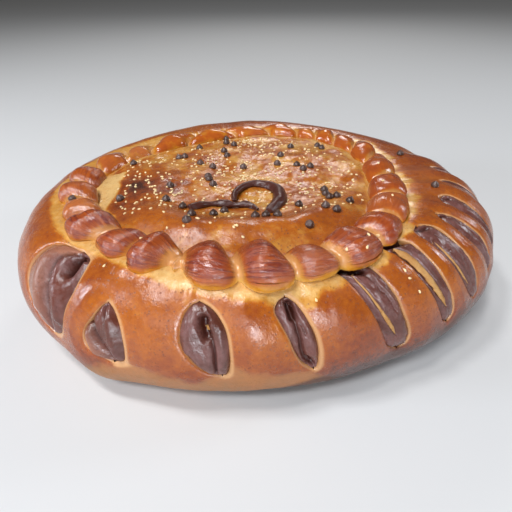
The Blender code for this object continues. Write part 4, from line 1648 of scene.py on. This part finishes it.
@dataclass
class CocoaDough:
    """The cocoa dough that swells out of the slits."""

    row: SlitRow
    column_size: float = 0.55 * MM
    row_size: float = 0.85 * MM
    tucked: float = 1.2 * MM
    thickness: float = 3.0 * MM
    # How deep the lips' feet and the cream strips' beds lie, in millimetres.
    foot: float = 1.9
    bed_depth: float = 1.5
    # Slits that face away have coarser meshes: middle and reach of the front, how much coarser.
    front: Pair = (22.5, 67.5)
    coarser: float = 1.6
    wrinkles: Layers = ((1.0, 3.2, 41), (0.7, 1.5, 42), (0.3, 0.8, 43))

    def build(self, material: Material) -> Object:
        """Build all the lips as one piece."""
        lips = [self.lip_mesh(slit, number) for number, slit in enumerate(self.row.slits)]
        mesh = joined("cocoa_lips", lips)
        return finish_piece("cocoa_lips", mesh, material, Slot.COCOA, "cocoa_dough")

    def pits(self, slit: Slit, across: Array, rise: Array) -> tuple[Array, Array]:
        """Sink the furrows and the beds of the cream strips, and raise the swells.

        Args:
            slit: The slit.
            across: Places across it, in metres.
            rise: Their distances up the side.

        Returns:
            How far down each place goes, in millimetres, and how much painted shade darkens the
            furrows.
        """
        total = np.zeros_like(across)
        shade = np.zeros_like(across)
        for furrow in slit.furrows:
            path = np.array(furrow.path)
            if len(path) > 1:
                path = smooth_path(path, 6)
            line = np.stack(self.row.local(slit, path[:, 0], path[:, 1]), 1)
            gap = self.row.gap_to_path(across, rise, line)
            form = np.exp(-((gap / (furrow.half_width * MM)) ** furrow.blunt))
            if furrow.depth > 0:
                total = total * (1 - form) + np.maximum(total, furrow.depth) * form
                shade = np.maximum(shade, furrow.shade * form)
            else:
                total = total + furrow.depth * form
        for strip in slit.cream:
            line = smooth_path(strip.path, 8)
            middle, height = self.row.local(slit, line[:, 0], line[:, 1])
            order = np.argsort(height)
            half = np.interp(rise, height[order], line[order, 2] * MM, left=0, right=0)
            gap = np.abs(across - np.interp(rise, height[order], middle[order]))
            bed = (1 - smooth_step(gap, half - 0.5 * MM, half + 0.15 * MM)) * (half > 0)
            total = total + self.bed_depth * bed
        return total, shade

    def veil(self, slit: Slit, across: Array, rise: Array) -> Array:
        """Find where golden skin still covers the cocoa dough, more to the left.

        Args:
            slit: The slit.
            across: Places across it, in metres.
            rise: Their distances up the side.

        Returns:
            How much each place is covered, from 0 to 1.
        """
        line = np.array(slit.veil)
        middle, height = self.row.local(slit, line[:, 0], line[:, 1])
        order = np.argsort(height)
        left = np.interp(rise, height[order], middle[order]) - across
        thick = 0.28 + 0.72 * smooth_step(left, 1 * MM, 8 * MM)
        return slit.veil_share * smooth_step(left, 0, 0.9 * MM) * thick

    def lip_mesh(self, slit: Slit, number: int) -> Mesh:
        """Make the swollen dough of one slit.

        Args:
            slit: The slit.
            number: Which one, for wrinkles of its own.

        Returns:
            The mesh, with its masks.
        """
        low, high = self.row.rise(np.array([slit.bottom, slit.top]))
        widest = self.row.half_width(slit, slit.levels).max()
        middle, reach = self.front
        coarse = 1.0 if abs(turn_between(slit.azimuth, middle)) < reach else self.coarser
        columns = int(2 * widest / self.column_size / coarse) + 4
        rows = int((high - low) / self.row_size / coarse) + 6
        mesh, spots = grid_mesh(f"{slit.name} lip", columns, rows)
        across = 2 * spots[:, 1] - 1
        along = np.sin((2 * spots[:, 2] - 1) * math.pi / 2)
        rise = (low + high) / 2 + along * ((high - low) / 2 + self.tucked)
        latitude = self.row.latitude(rise)
        open_width = self.row.half_width(slit, np.clip(latitude, slit.bottom, slit.top))
        width = open_width + self.tucked
        # From 0 in the middle to 1 where the lip goes in under the crust.
        edge = np.abs(across) * width / np.maximum(open_width, 0.6 * MM)
        end = np.abs(2 * rise - low - high) / (high - low)
        most = 1.02 + 0.4 * smooth_step(open_width, 0, 3 * MM)
        edge = np.minimum(np.maximum(edge, end ** 3), most)
        depth = slit.crest + (self.foot - slit.crest) * edge ** 3.4
        pits, shade = self.pits(slit, across * width, rise)
        pits = pits * (1 - smooth_step(end, 0.88, 0.98))
        drawn = np.stack([across * width, rise * 0.35, np.full_like(rise, number * 0.1)], 1)
        tan = slit.tan_top * smooth_step(latitude - 7.2 * across, 57, 63)
        tan = tan * (1 - smooth_step(across, 0.05, 0.2))
        if slit.veil:
            tan = np.maximum(tan, self.veil(slit, across * width, rise))
        wrinkles = slit.wrinkle * layered(drawn, self.wrinkles) * (1 - tan)
        depth = (depth + pits + wrinkles) * MM
        move_points(mesh, self.row.place(slit, across * width, latitude, depth))
        # The dark mask is painted shade, as strong as the furrows' shade and their depth.
        write_masks(mesh, deep=np.clip(shade * np.clip(pits / 3.0, 0, 1), 0, 1), tan=tan)
        thicken(mesh, self.thickness)
        return mesh


@dataclass
class InnerDough:
    """The plain core where it shows in the slits."""

    row: SlitRow
    columns: int = 8
    steps: int = 12
    thickness: float = 1.6 * MM

    def build(self, material: Material) -> Object:
        """Build all the cream strips as one piece."""
        strips = [self.strip_mesh(slit, strip, number)
                  for number, slit in enumerate(self.row.slits) for strip in slit.cream]
        mesh = joined("cream_strips", strips)
        return finish_piece("cream_strips", mesh, material, Slot.CRUMB, "inner_dough")

    def strip_mesh(self, slit: Slit, strip: CreamStrip, number: int) -> Mesh:
        """Make one strip of the core.

        Args:
            slit: The slit that it shows in.
            strip: The strip.
            number: Which slit, for an outline of its own.

        Returns:
            The mesh, with its mask.
        """
        line = smooth_path(strip.path, self.steps)
        mesh, spots = grid_mesh(f"{slit.name} cream", self.columns, len(line) - 1)
        step = np.round(spots[:, 2] * (len(line) - 1)).astype(int)
        middle, rise = self.row.local(slit, line[:, 0], line[:, 1])
        ends = np.minimum(1, 3 * np.sqrt(spots[:, 2] * (1 - spots[:, 2])))
        uneven = np.stack([rise[step], np.full(len(step), number * 0.1), 0 * rise[step]], 1)
        half = line[step, 2] * MM * ends * (1 + 0.14 * lumps(uneven, 1.8 * MM, 52))
        side = 2 * spots[:, 1] - 1
        across = middle[step] + 0.14 * half * lumps(uneven, 2.5 * MM, 51) + half * side
        rough = np.stack([across, rise[step], 0 * half], 1)
        depth = strip.depth + 0.5 * side * side + 0.2 * lumps(rough, 1.5 * MM, 53)
        move_points(mesh, self.row.place(slit, across, line[step, 1], depth * MM))
        write_masks(mesh, edge=0.7 * smooth_step(np.abs(side), 0.7, 1.0))
        thicken(mesh, self.thickness)
        return mesh


# ---- the border


@dataclass(frozen=True)
class Swelling:
    """One swelling of the twisted border.

    It begins at an azimuth round the ring.  Its size and the twist after it are shares of the
    border's greatest size.  The fullest place and how it tapers on both sides, 1 for a fan and 0.45
    for a round end, give its shape.  It may stand off the ring's line, in millimetres, and be pale.
    """

    begins: float
    size: float = 1.0
    fullest: float = 0.5
    taper_left: float = 0.5
    taper_right: float = 0.5
    stands_off: float = 0.0
    pale: float = 0.0
    twist: float = 0.58
    streaks: float = 0.5


@dataclass
class TwistedBorder:
    """The strip of dough twisted into swellings and laid in a ring."""

    form: LoafForm
    swellings: tuple[Swelling, ...] = (
        Swelling(-117, 1.00, 0.50, 0.5, 0.6, -0.5, 0.1, 0.50, 0.2),
        Swelling(-100.5, 1.08, 0.50, 0.6, 0.5, 0.0, 0.0, 0.56, 0.8),
        Swelling(-85.5, 1.06, 0.50, 0.5, 0.6, 0.5, 0.1, 0.60, 0.6),
        Swelling(-72.5, 0.92, 0.50, 0.6, 0.6, 0.0, 0.3, 0.46, 0.4),
        Swelling(-59.5, 1.10, 0.44, 0.45, 0.7, 2.5, 0.0, 0.50, 1.0),
        Swelling(-46.0, 0.90, 0.55, 0.8, 0.7, 2.0, 0.0, 0.42, 0.9),
        Swelling(-31.0, 1.08, 0.38, 0.42, 1.0, 2.0, 0.0, 0.34, 1.0),
        Swelling(-18.6, 1.06, 0.64, 1.0, 0.6, 1.5, 0.0, 0.56, 1.0),
        Swelling(-1.5, 1.14, 0.52, 0.7, 0.55, 0.5, 0.0, 0.54, 1.0),
        Swelling(13.2, 0.84, 0.50, 0.8, 0.7, 0.5, 0.1, 0.60, 0.7),
        Swelling(25.3, 1.04, 0.54, 0.65, 0.42, 0.5, 0.0, 0.60, 1.0),
        Swelling(39.8, 1.02, 0.55, 0.6, 0.42, 0.5, 0.0, 0.72, 0.6),
        Swelling(53.5, 1.02, 0.52, 0.5, 0.42, 0.0, 0.1, 0.78, 0.3),
        Swelling(68.5, 1.00, 0.52, 0.5, 0.42, -1.0, 0.0, 0.72, 0.3),
        Swelling(87.5, 1.02, 0.50, 0.5, 0.45, -1.0, 0.0, 0.62, 0.2),
        Swelling(109.5, 1.04, 0.5, 0.45, 0.5, 0.0, 0.0, 0.58, 0.2),
        Swelling(124.5, 0.92, 0.5, 0.5, 0.5, 0.0, 0.0, 0.60, 0.1),
        Swelling(136.5, 0.98, 0.5, 0.5, 0.5, 0.5, 0.0, 0.56, 0.1),
        Swelling(146.5, 0.86, 0.5, 0.5, 0.6, 0.0, 0.1, 0.54, 0.1),
        Swelling(156, 1.00, 0.5, 0.5, 0.6, 0.0, 0.0, 0.50, 0.1),
        Swelling(170.5, 1.02, 0.5, 0.5, 0.5, 0.0, 0.1, 0.52, 0.1),
        Swelling(188, 0.96, 0.5, 0.6, 0.5, 0.0, 0.0, 0.46, 0.1),
        Swelling(207, 1.04, 0.5, 0.5, 0.6, 0.0, 0.0, 0.46, 0.1),
        Swelling(229, 0.80, 0.5, 0.6, 0.7, 0.0, 0.3, 0.50, 0.2))
    half_width: float = 13.6 * MM
    half_height: float = 10.8 * MM
    back_size: float = 0.72
    neck: float = 0.05
    twist_sag: float = 5.5 * MM
    columns_each: int = 30
    sides: int = 56
    sunk: float = 0.6 * MM
    # How far aslant the creases run, in shares of a swelling, in front and behind.
    slant_front: float = 0.12
    slant_back: float = 0.34
    soft_lumps: Layers = ((0.9, 9, 62), (0.25, 4, 66))

    def build(self, material: Material) -> Object:
        """Build the strip."""
        return finish_piece("twisted_strip", self.strip_mesh(), material, Slot.BORDER,
                            "twisted_border")

    def azimuth_at(self, turns: Array) -> Array:
        """Give azimuths after this many swellings from the start of the first."""
        marks = [swelling.begins for swelling in self.swellings] + [self.swellings[0].begins + 360]
        return np.interp(turns, np.arange(len(marks)), marks)

    def values(self, name: str, number: Array) -> Array:
        """Give one of the swellings' values for each of these numbers."""
        kept = np.array([getattr(swelling, name) for swelling in self.swellings])
        return kept[number % len(self.swellings)]

    def fullness(self, turns: Array) -> tuple[Array, Array, Array]:
        """Say how full the strip is.

        Args:
            turns: Places along the strip, in swellings.

        Returns:
            Fullness from 0 at a twist to 1, which swelling it is, and the share of it passed.
        """
        number = np.floor(turns).astype(int)
        share = np.clip((turns - number - self.neck) / (1 - 2 * self.neck), 0, 1)
        peak = self.values("fullest", number)
        rising = np.sin(math.pi / 2 * np.clip(share / peak, 0, 1))
        falling = np.cos(math.pi / 2 * np.clip((share - peak) / (1 - peak), 0, 1))
        left = np.maximum(rising, 1e-6) ** self.values("taper_left", number)
        right = np.maximum(falling, 1e-6) ** self.values("taper_right", number)
        return np.where(share < peak, left, right), number, share

    def strip_mesh(self) -> Mesh:
        """Make the strip as a tube whose creases run aslant.

        Returns:
            The mesh, with its masks and its UV map.
        """
        count = len(self.swellings)
        mesh, spots = grid_mesh("twisted_strip", self.columns_each * count, self.sides)
        turns = spots[:, 1] * count
        angle = 2 * math.pi * spots[:, 2]
        azimuth = self.azimuth_at(turns)
        turn = np.radians(azimuth)
        front = (1 + np.cos(turn)) / 2
        outward = np.cos(angle)
        upward = np.sin(angle)
        slant = self.slant_front + (self.slant_back - self.slant_front) * (1 - front)
        slant = slant * np.sign(np.sin(turn) + 0.3)
        full, number, share = self.fullness(turns - slant * outward * np.cos(np.pi * turns) ** 2)
        bend = smooth_step(share, 0.0, 1.0)
        twist = self.values("twist", number - 1) * (1 - bend) + self.values("twist", number) * bend
        own = self.values("size", number) * full + 0.92 * (1 - full)
        scale = self.back_size + (1 - self.back_size) * front
        size = (twist + (1 - twist) * full) * own * scale
        off = self.values("stands_off", number) * full * MM
        ring = self.form.ring
        reach = ring.radius_at(azimuth) + off + outward * self.half_width * size
        x, y = ring.at(azimuth, reach)
        round_up = np.sign(upward) * np.abs(upward) ** 0.9
        z = ring.height + round_up * self.half_height * size - self.twist_sag * (1 - size)
        points = np.stack([x, y, z], 1)
        folds = np.stack([turns * 3.4 * MM, angle * 4.2 * MM, turns * 0], 1)
        ridges = (0.20 + 0.36 * self.values("streaks", number)) * lumps(folds, 1.5 * MM, 61)
        ridges = ridges + layered(points, self.soft_lumps)
        away = np.stack([outward * np.sin(turn), -outward * np.cos(turn), upward], 1)
        points = points + away * (ridges * MM * np.clip(full, 0.2, 1))[:, None]
        points[:, 2] = np.maximum(points[:, 2], self.bed_height(points) - self.sunk)
        move_points(mesh, points)
        self.dress(mesh, points, full, upward, number, front)
        self.unroll(mesh, spots)
        weld(mesh)
        return mesh

    def bed_height(self, points: Array) -> Array:
        """Find the crust under the strip.

        Args:
            points: Places on the strip.

        Returns:
            The height of the crust under each.
        """
        azimuth = np.degrees(np.arctan2(points[:, 0], -points[:, 1]))
        reach = np.hypot(points[:, 0], points[:, 1]) / outline(azimuth, self.form.waves)
        stations = np.linspace(0.42, 1.0, 600)
        radius, height, _, upward = self.form.profile(stations)
        plain = np.interp(-reach, -radius, height)
        level = np.interp(-reach, -radius, np.maximum(upward, 0) ** 2)
        return plain + self.form.crown_relief(points[:, 0], points[:, 1]) * level

    def dress(self, mesh: Mesh, points: Array, full: Array, upward: Array,
              number: Array, front: Array) -> None:
        """Write how much each point is baked, pinched and streaked.

        Args:
            mesh: The strip's mesh.
            points: Its points.
            full: Their fullness, from 0 at a twist to 1.
            upward: How far they face up, from -1 to 1.
            number: Which swelling they are in.
            front: How far in front they are, from 0 to 1.
        """
        pale = self.values("pale", number)
        high = smooth_step(upward + 0.16 * lumps(points, 7 * MM, 63), -0.30, 0.32)
        low = 0.30 + 0.07 * lumps(points, 9 * MM, 64)
        bake = (low + (0.82 - low) * high) * (0.30 + 0.70 * smooth_step(full, 0.1, 0.75))
        bake = bake * (0.70 + 0.30 * front) * (1 - 0.5 * pale)
        bake = bake + 0.10 * lumps(points, 6 * MM, 65) * (1 - 0.7 * front)
        pinch = 0.75 * (1 - smooth_step(full, 0.15, 0.50)) * high
        streak = high * self.values("streaks", number) * smooth_step(full, 0.12, 0.45)
        write_masks(mesh, bake=bake, pinch=np.maximum(pinch, 0.7 * pale * high), streak=streak)

    def unroll(self, mesh: Mesh, spots: Array) -> None:
        """Write the strip's UV map, which counts swellings along it and runs round it.

        Args:
            mesh: The strip's mesh.
            spots: Its points' places on the flat grid.
        """
        layer = mesh.uv_layers.new(name="strip")
        corners = np.empty(len(mesh.loops), np.int32)
        mesh.loops.foreach_get("vertex_index", corners)
        flat = np.stack([spots[:, 1] * len(self.swellings), spots[:, 2]], 1)[corners]
        layer.data.foreach_set("uv", flat.astype(np.float32).ravel())


# ---- curl and toppings


@dataclass(frozen=True)
class CurlPath:
    """The middle line of one cocoa strip on the crown: x, y and radius in millimetres."""

    name: str
    node: str
    points: tuple[tuple[float, float, float], ...]


HOOK = CurlPath("cocoa_hook_strip", "cocoa_hook", (
    (-13.0, -48, 1.5), (-13.0, -37, 2.1), (-7, -27, 2.5), (2, -24, 2.7), (11, -28, 3.6),
    (16, -37, 4.4), (16, -49, 4.6), (12, -59, 3.9), (8, -66, 2.4)))
TAIL = CurlPath("cocoa_tail_strip", "cocoa_tail", (
    (-40, -63, 2.3), (-34, -58, 2.7), (-27, -54.5, 1.7), (-18, -53.5, 2.9), (-12, -54.5, 1.5),
    (-6, -54, 2.6), (-1, -57, 1.8), (2, -62, 0.9)))


@dataclass
class CocoaCurl:
    """Two tapered strips of cocoa dough that curl on the crown."""

    form: LoafForm
    golden: GoldenDough
    sides: int = 28
    rows: int = 120
    stands: float = 1.5 * MM
    sunk: float = 0.4 * MM
    # The crease winds round the strip by so many radians, from this angle.
    twist: float = 3.0
    twist_from: float = 0.6
    crease_depth: float = 0.34
    lumps: Layers = ((0.16, 3, 71), (0.09, 1.2, 72))

    def build(self, path: CurlPath, material: Material) -> Object:
        """Build one strip of the curl."""
        return finish_piece(path.name, self.strip_mesh(path), material, Slot.COCOA, path.node)

    def strip_mesh(self, path: CurlPath) -> Mesh:
        """Make one strip as a tube with a ridge and a crease along it.

        Args:
            path: The strip's middle line.

        Returns:
            The mesh, with its masks.
        """
        mesh, spots = grid_mesh(path.name, self.sides, self.rows)
        last = len(path.points) - 1
        share = 0.5 - 0.5 * np.cos(math.pi * spots[:, 2])
        line = curve_at(path.points, share * last)
        before, after = (curve_at(path.points, np.clip(share + step, 0, 1) * last)
                         for step in (-0.01, 0.01))
        ahead = after - before
        length = np.maximum(np.hypot(ahead[:, 0], ahead[:, 1]), 1e-6)
        side = np.stack([ahead[:, 1], -ahead[:, 0]], 1) / length[:, None]
        taper = np.sqrt(np.maximum(0, 1 - (2 * spots[:, 2] - 1) ** 16))
        angle = 2 * math.pi * spots[:, 1]
        crease = hump(np.cos((angle - self.twist * share - self.twist_from) / 2), 0, 0.12)
        drawn = np.stack([share * 30 * MM, angle * 3 * MM, share * 0], 1)
        uneven = 1 - self.crease_depth * crease + layered(drawn, self.lumps)
        radius = line[:, 2] * taper * uneven
        x, y = ((line[:, :2] + side * (radius * np.cos(angle))[:, None]) * MM).T
        crown = self.form.crown_height
        middle = crown + self.form.crown_relief(line[:, 0] * MM, line[:, 1] * MM) + self.stands
        z = middle + radius * np.sin(angle) * MM
        uneven = self.golden.crown_unevenness(np.stack([x, y, z], 1)) * MM
        bed = crown + self.form.crown_relief(x, y) + uneven - self.sunk
        move_points(mesh, np.stack([x, y, np.maximum(z, bed)], 1))
        # The curl's dough is dark all over, and painted shade darkens its crease further.
        write_masks(mesh, deep=np.clip(crease * 0.9 + 0.55, 0, 1), tan=0 * share)
        weld(mesh)
        return mesh


# Chocolate drops, in millimetres: x and y of the first, step to the next, how many.
DROP_TRAILS = (
    (-24, 72, 0, 0, 1), (-22, 56, 6, -5, 2), (-23, 38, 2, -9, 2), (-58, 23, 5, 2, 2),
    (-41, 12, 10, -6, 2), (-33, -13, 2, -6, 3), (-56, -31, 1, -21, 2), (-45, -60, 0, 0, 1),
    (-37, -75, -1, -9, 2), (-25, -69, 6, 5, 2), (1, -77, 6, -1, 3), (30, -87, 0, 0, 1),
    (42, -68, 7, -4, 2), (59, -55, 0, 0, 1), (28, -56, 0, 0, 1), (46, -34, 1, -7, 3),
    (53, -47, 0, 0, 1), (30, 45, 0, 0, 1), (20, 23, -3, -14, 2), (32, 6, 4, -8, 2),
    (42, 4, 0, 0, 1), (54, 53, 2, -8, 2), (-90, 13, 0, 0, 1), (-86, -47, 0, 0, 1),
    (-8, 6, 0, 0, 1), (-45, 47, 0, 0, 1), (114, 27, 0, 0, 1), (121, -31, 0, 0, 1),
    (-117, -47, 0, 0, 1),
)


# Sesame seeds that lie on the border and on the side, in millimetres.
STRAY_SEEDS = (
    (79.5, -112.3), (82.0, -114.9), (87.7, -117.6), (29.9, -132.1), (-79.9, -111.4),
    (58.9, -107.0), (56.5, -115.8), (46.5, -115.5), (66.9, -97.8), (83.8, -60.8), (88.1, -8.1),
    (84.0, -38.0), (-101.0, -40.0), (-62.0, -98.0))


@dataclass
class Toppings:
    """Chocolate drops and sesame seeds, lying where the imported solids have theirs."""

    form: LoafForm
    border: TwistedBorder
    grounds: Sequence[Object]
    drop_radius: float = 2.75 * MM
    drop_height: float = 4.8 * MM
    # Level and girth up a drop.
    drop_shape: tuple[Pair, ...] = (
        (0, 0), (0.04, 0.55), (0.13, 0.86), (0.28, 1.0), (0.45, 0.97), (0.60, 0.84), (0.74, 0.60),
        (0.86, 0.33), (0.95, 0.13), (1, 0))
    drop_sunk: float = 0.9 * MM
    drop_wander: float = 0.8
    drop_tilt: float = 16.0
    seed_size: tuple[float, float, float] = (1.12 * MM, 0.66 * MM, 0.5 * MM)
    seed_taper: float = 0.35
    seed_lift: float = 0.25 * MM
    seed_count: int = 460
    seed_spread: float = 88.0 * MM
    clear_of_curl: float = 9.0 * MM
    # The first seeds keep the full distance from the curl, the others this share of it.
    first_seeds: int = 24
    later_share: float = 0.6
    clear_of_border: float = 3.0 * MM
    draw: random.Random = field(default_factory=lambda: random.Random(2207))

    def __post_init__(self) -> None:
        """Make the pieces that the toppings lie on ready to be met from above."""
        graph = bpy.context.evaluated_depsgraph_get()
        self.trees = [BVHTree.FromObject(ground, graph) for ground in self.grounds]

    def ground(self, x: float, y: float) -> tuple[Vector, Vector]:
        """Find the highest point of the dough.

        Args:
            x: Place along X.
            y: Place along Y.

        Returns:
            The point and its normal, which faces up.
        """
        best, normal = None, None
        for tree in self.trees:
            hit, facing, _, _ = tree.ray_cast(Vector((x, y, 1.0)), Vector((0, 0, -1)))
            if hit and (best is None or hit.z > best.z):
                best, normal = hit, facing
        return best, normal if normal.z > 0 else -normal

    def stand(self, x: float, y: float) -> Matrix:
        """Stand a topping up on the dough.

        Args:
            x: Its place along X.
            y: Its place along Y.

        Returns:
            The transform that takes it there.
        """
        hit, normal = self.ground(x, y)
        turn = Vector((0, 0, 1)).rotation_difference(normal)
        return Matrix.Translation(hit) @ turn.to_matrix().to_4x4()

    def build(self, chocolate: Material, husk: Material) -> None:
        """Build the drops as one piece and the seeds as another.

        Args:
            chocolate: The drops' material.
            husk: The seeds' material.
        """
        drops = [self.drop_mesh(x, y) for x, y in self.drop_places()]
        seeds = [self.seed_mesh(x, y, number) for number, (x, y) in enumerate(self.seed_places())]
        for name, meshes, material, slot in (
                ("chocolate_drops", drops, chocolate, Slot.COCOA),
                ("sesame_seeds", seeds, husk, Slot.CRUMB)):
            finish_piece(name, joined(name, meshes), material, slot, "golden_dough")

    def drop_places(self) -> Iterator[Pair]:
        """Scatter the drops a little about their trails.

        Returns:
            X and y of each drop.
        """
        for x, y, step_x, step_y, count in DROP_TRAILS:
            for number in range(count):
                wander_x = self.draw.uniform(-self.drop_wander, self.drop_wander)
                wander_y = self.draw.uniform(-self.drop_wander, self.drop_wander)
                yield (x + step_x * number + wander_x) * MM, (y + step_y * number + wander_y) * MM

    def drop_mesh(self, x: float, y: float) -> Mesh:
        """Make a chocolate drop: a round foot that draws up to a soft tip.

        Args:
            x: Its place along X.
            y: Its place along Y.

        Returns:
            The mesh.
        """
        spin = Matrix.Rotation(math.radians(self.draw.uniform(0, 360)), 4, "Z")
        lean = Matrix.Rotation(math.radians(self.draw.uniform(-self.drop_tilt, self.drop_tilt)),
                               4, "X")
        levels, girths = zip(*self.drop_shape)
        mesh = bpy.data.meshes.new("drop")
        with edited(mesh) as shape:
            bmesh.ops.create_uvsphere(shape, u_segments=16, v_segments=14, radius=1.0)
            for vertex in shape.verts:
                level = (vertex.co.z + 1) / 2
                girth = float(np.interp(level, levels, girths))
                flat = vertex.co.xy.length
                if flat > 1e-6:
                    vertex.co.xy *= girth * self.drop_radius / flat
                vertex.co.z = level * self.drop_height - self.drop_sunk
            shape.transform(self.stand(x, y) @ spin @ lean)
            bmesh.ops.recalc_face_normals(shape, faces=shape.faces)
        return mesh

    def seed_places(self) -> Iterator[Pair]:
        """Scatter the seeds inside the border, clear of the curl, after the stray ones.

        Returns:
            X and y of each seed.
        """
        for x, y in STRAY_SEEDS:
            yield x * MM, y * MM
        strip = [Vector((x * MM, y * MM)) for x, y, _ in HOOK.points + TAIL.points]
        ring = self.form.ring
        made = 0
        while made < self.seed_count:
            distance = self.seed_spread * self.draw.random() ** 0.6
            turn = self.draw.uniform(0, 2 * math.pi)
            x = ring.centre_x + distance * math.sin(turn)
            y = ring.centre_y - distance * math.cos(turn)
            off_ring = ring.offset(np.array([x]), np.array([y]))[0][0]
            if off_ring > -self.border.half_width - self.clear_of_border:
                continue
            spot = np.array([[x, y, 0.0]])
            share = 0.62 if y > -70 * MM else 0.12
            if self.draw.random() > share + 0.5 * float(lumps(spot, 26 * MM, 91)[0]):
                continue
            clear = 1.0 if made < self.first_seeds else self.later_share
            nearest = min((Vector((x, y)) - point).length for point in strip)
            if nearest < clear * self.clear_of_curl:
                continue
            made += 1
            yield x, y

    def seed_mesh(self, x: float, y: float, number: int) -> Mesh:
        """Make a sesame seed: a flat drop shape, half sunk.

        Args:
            x: Its place along X.
            y: Its place along Y.
            number: Which seed, for a toasting of its own.

        Returns:
            The mesh, with its mask.
        """
        spin = Matrix.Rotation(math.radians(self.draw.uniform(0, 180)), 4, "Z")
        lift = Matrix.Translation((0, 0, self.seed_lift))
        mesh = bpy.data.meshes.new("seed")
        with edited(mesh) as shape:
            bmesh.ops.create_uvsphere(shape, u_segments=10, v_segments=7, radius=1.0)
            for vertex in shape.verts:
                vertex.co.y *= 1 - self.seed_taper * vertex.co.x
            size = Matrix.Diagonal((*self.seed_size, 1.0))
            shape.transform(self.stand(x, y) @ spin @ lift @ size)
        write_masks(mesh, toast=np.full(len(mesh.vertices), (number * 0.618) % 1 * 0.5))
        return mesh


# ---- stage


@dataclass(frozen=True)
class StudioLight:
    """A soft rectangular light: its place, width and height, power in watts and colour."""

    name: str
    place: tuple[float, float, float]
    size: Pair
    power: float
    colour: Colour

    def build(self) -> None:
        """Hang the light so that it faces the loaf."""
        light = bpy.data.lights.new(self.name, "AREA")
        light.shape = "RECTANGLE"
        light.size, light.size_y = self.size
        light.energy = self.power
        light.color = self.colour
        lamp = bpy.data.objects.new(self.name, light)
        lamp.location = self.place
        towards = Vector((0, 0, 0.05)) - Vector(self.place)
        lamp.rotation_euler = towards.to_track_quat("-Z", "Y").to_euler()
        bpy.context.scene.collection.objects.link(lamp)


@dataclass(frozen=True)
class Stage:
    """The floor, the light and the camera."""

    camera_place: tuple[float, float, float] = (0.00027, -0.30293, 0.2123)
    looks_down: float = 33.673
    roll: float = 1.063
    lens: float = 30.94
    floor_size: float = 6.0
    floor_colour: Colour = (0.66, 0.66, 0.66)
    floor_roughness: float = 0.9
    sky: Colour = (1.0, 0.98, 0.95)
    sky_strength: float = 0.10
    lights: tuple[StudioLight, ...] = (
        StudioLight("window behind", (0.15, 1.5, 1.15), (0.45, 0.28), 4.4, (1.0, 0.99, 0.97)),
        StudioLight("ceiling", (-0.67, -0.2, 1.5), (0.26, 0.18), 8.0, (0.97, 0.98, 1.0)),
        StudioLight("lamp above", (-0.3, -0.4, 1.5), (0.2, 0.12), 5.0, (1.0, 0.99, 0.98)),
        StudioLight("skylight", (-0.45, -1.0, 1.45), (0.5, 0.2), 15.0, (0.93, 0.96, 1.0)),
        StudioLight("window in front", (0.22, -1.3, 0.20), (0.42, 0.16), 6.5, (0.86, 0.93, 1.0)),
        StudioLight("pale wall", (-0.5, -1.5, 0.45), (1.3, 0.5), 4.0, (0.80, 0.89, 1.0)),
        StudioLight("window at left", (-1.5, -0.35, 0.5), (0.3, 0.2), 8.0, (0.80, 0.89, 1.0)),
        StudioLight("window at right", (1.35, 0.25, 0.65), (0.3, 0.22), 4.0, (0.86, 0.92, 1.0)))

    def build(self) -> None:
        """Set the floor, the lights, the sky and the camera."""
        self.build_floor()
        self.build_sky()
        for light in self.lights:
            light.build()
        self.build_camera()

    def build_floor(self) -> None:
        """Lay a plain pale floor under the loaf."""
        mesh = bpy.data.meshes.new("floor")
        with edited(mesh) as shape:
            bmesh.ops.create_grid(shape, x_segments=1, y_segments=1, size=self.floor_size)
        material = bpy.data.materials.new("floor")
        material.use_nodes = True
        bench = Bench(material.node_tree)
        bench.feed(bench.tree.nodes["Principled BSDF"], {
            "Base Color": (*self.floor_colour, 1.0), "Roughness": self.floor_roughness})
        mesh.materials.append(material)
        floor = bpy.data.objects.new("floor", mesh)
        floor.location.z = -0.2 * MM
        bpy.context.scene.collection.objects.link(floor)

    def build_sky(self) -> None:
        """Fill the shadows with an even pale light."""
        world = bpy.data.worlds.new("studio")
        bpy.context.scene.world = world
        world.use_nodes = True
        bench = Bench(world.node_tree)
        bench.feed(bench.tree.nodes["Background"], {
            "Color": (*self.sky, 1.0), "Strength": self.sky_strength})

    def build_camera(self) -> None:
        """Set the camera at the photograph's angle."""
        data = bpy.data.cameras.new("camera")
        data.sensor_width = 36.0
        data.lens = self.lens
        data.clip_start = 0.01
        camera = bpy.data.objects.new("camera", data)
        tilt = Matrix.Rotation(math.radians(90 - self.looks_down), 4, "X")
        roll = Matrix.Rotation(math.radians(-self.roll), 4, "Z")
        camera.matrix_world = Matrix.Translation(self.camera_place) @ tilt @ roll
        bpy.context.scene.collection.objects.link(camera)
        bpy.context.scene.camera = camera
        bpy.context.scene.view_settings.view_transform = "Standard"


# ---- the whole loaf


def main() -> None:
    """Build the loaf's pieces in order, then the stage."""
    logging.basicConfig(level=logging.INFO, format="%(name)s %(message)s")
    form = LoafForm()
    row = SlitRow(form)
    effects = Effects()
    cocoa = CocoaCrust().material(effects)
    golden = GoldenDough(form, row)
    crusts = golden.build(GoldenCrust().material(effects))
    CocoaDough(row).build(cocoa)
    InnerDough(row).build(PlainCrumb().material(effects))
    border = TwistedBorder(form)
    strip = border.build(BorderCrust().material(effects))
    curl = CocoaCurl(form, golden)
    for path in (HOOK, TAIL):
        curl.build(path, cocoa)
    bpy.context.view_layer.update()
    toppings = Toppings(form, border, [*crusts, strip])
    toppings.build(DarkChocolate().material(effects), SesameHusk().material(effects))
    Stage().build()
    bpy.context.view_layer.update()


if __name__ == "__main__":
    main()
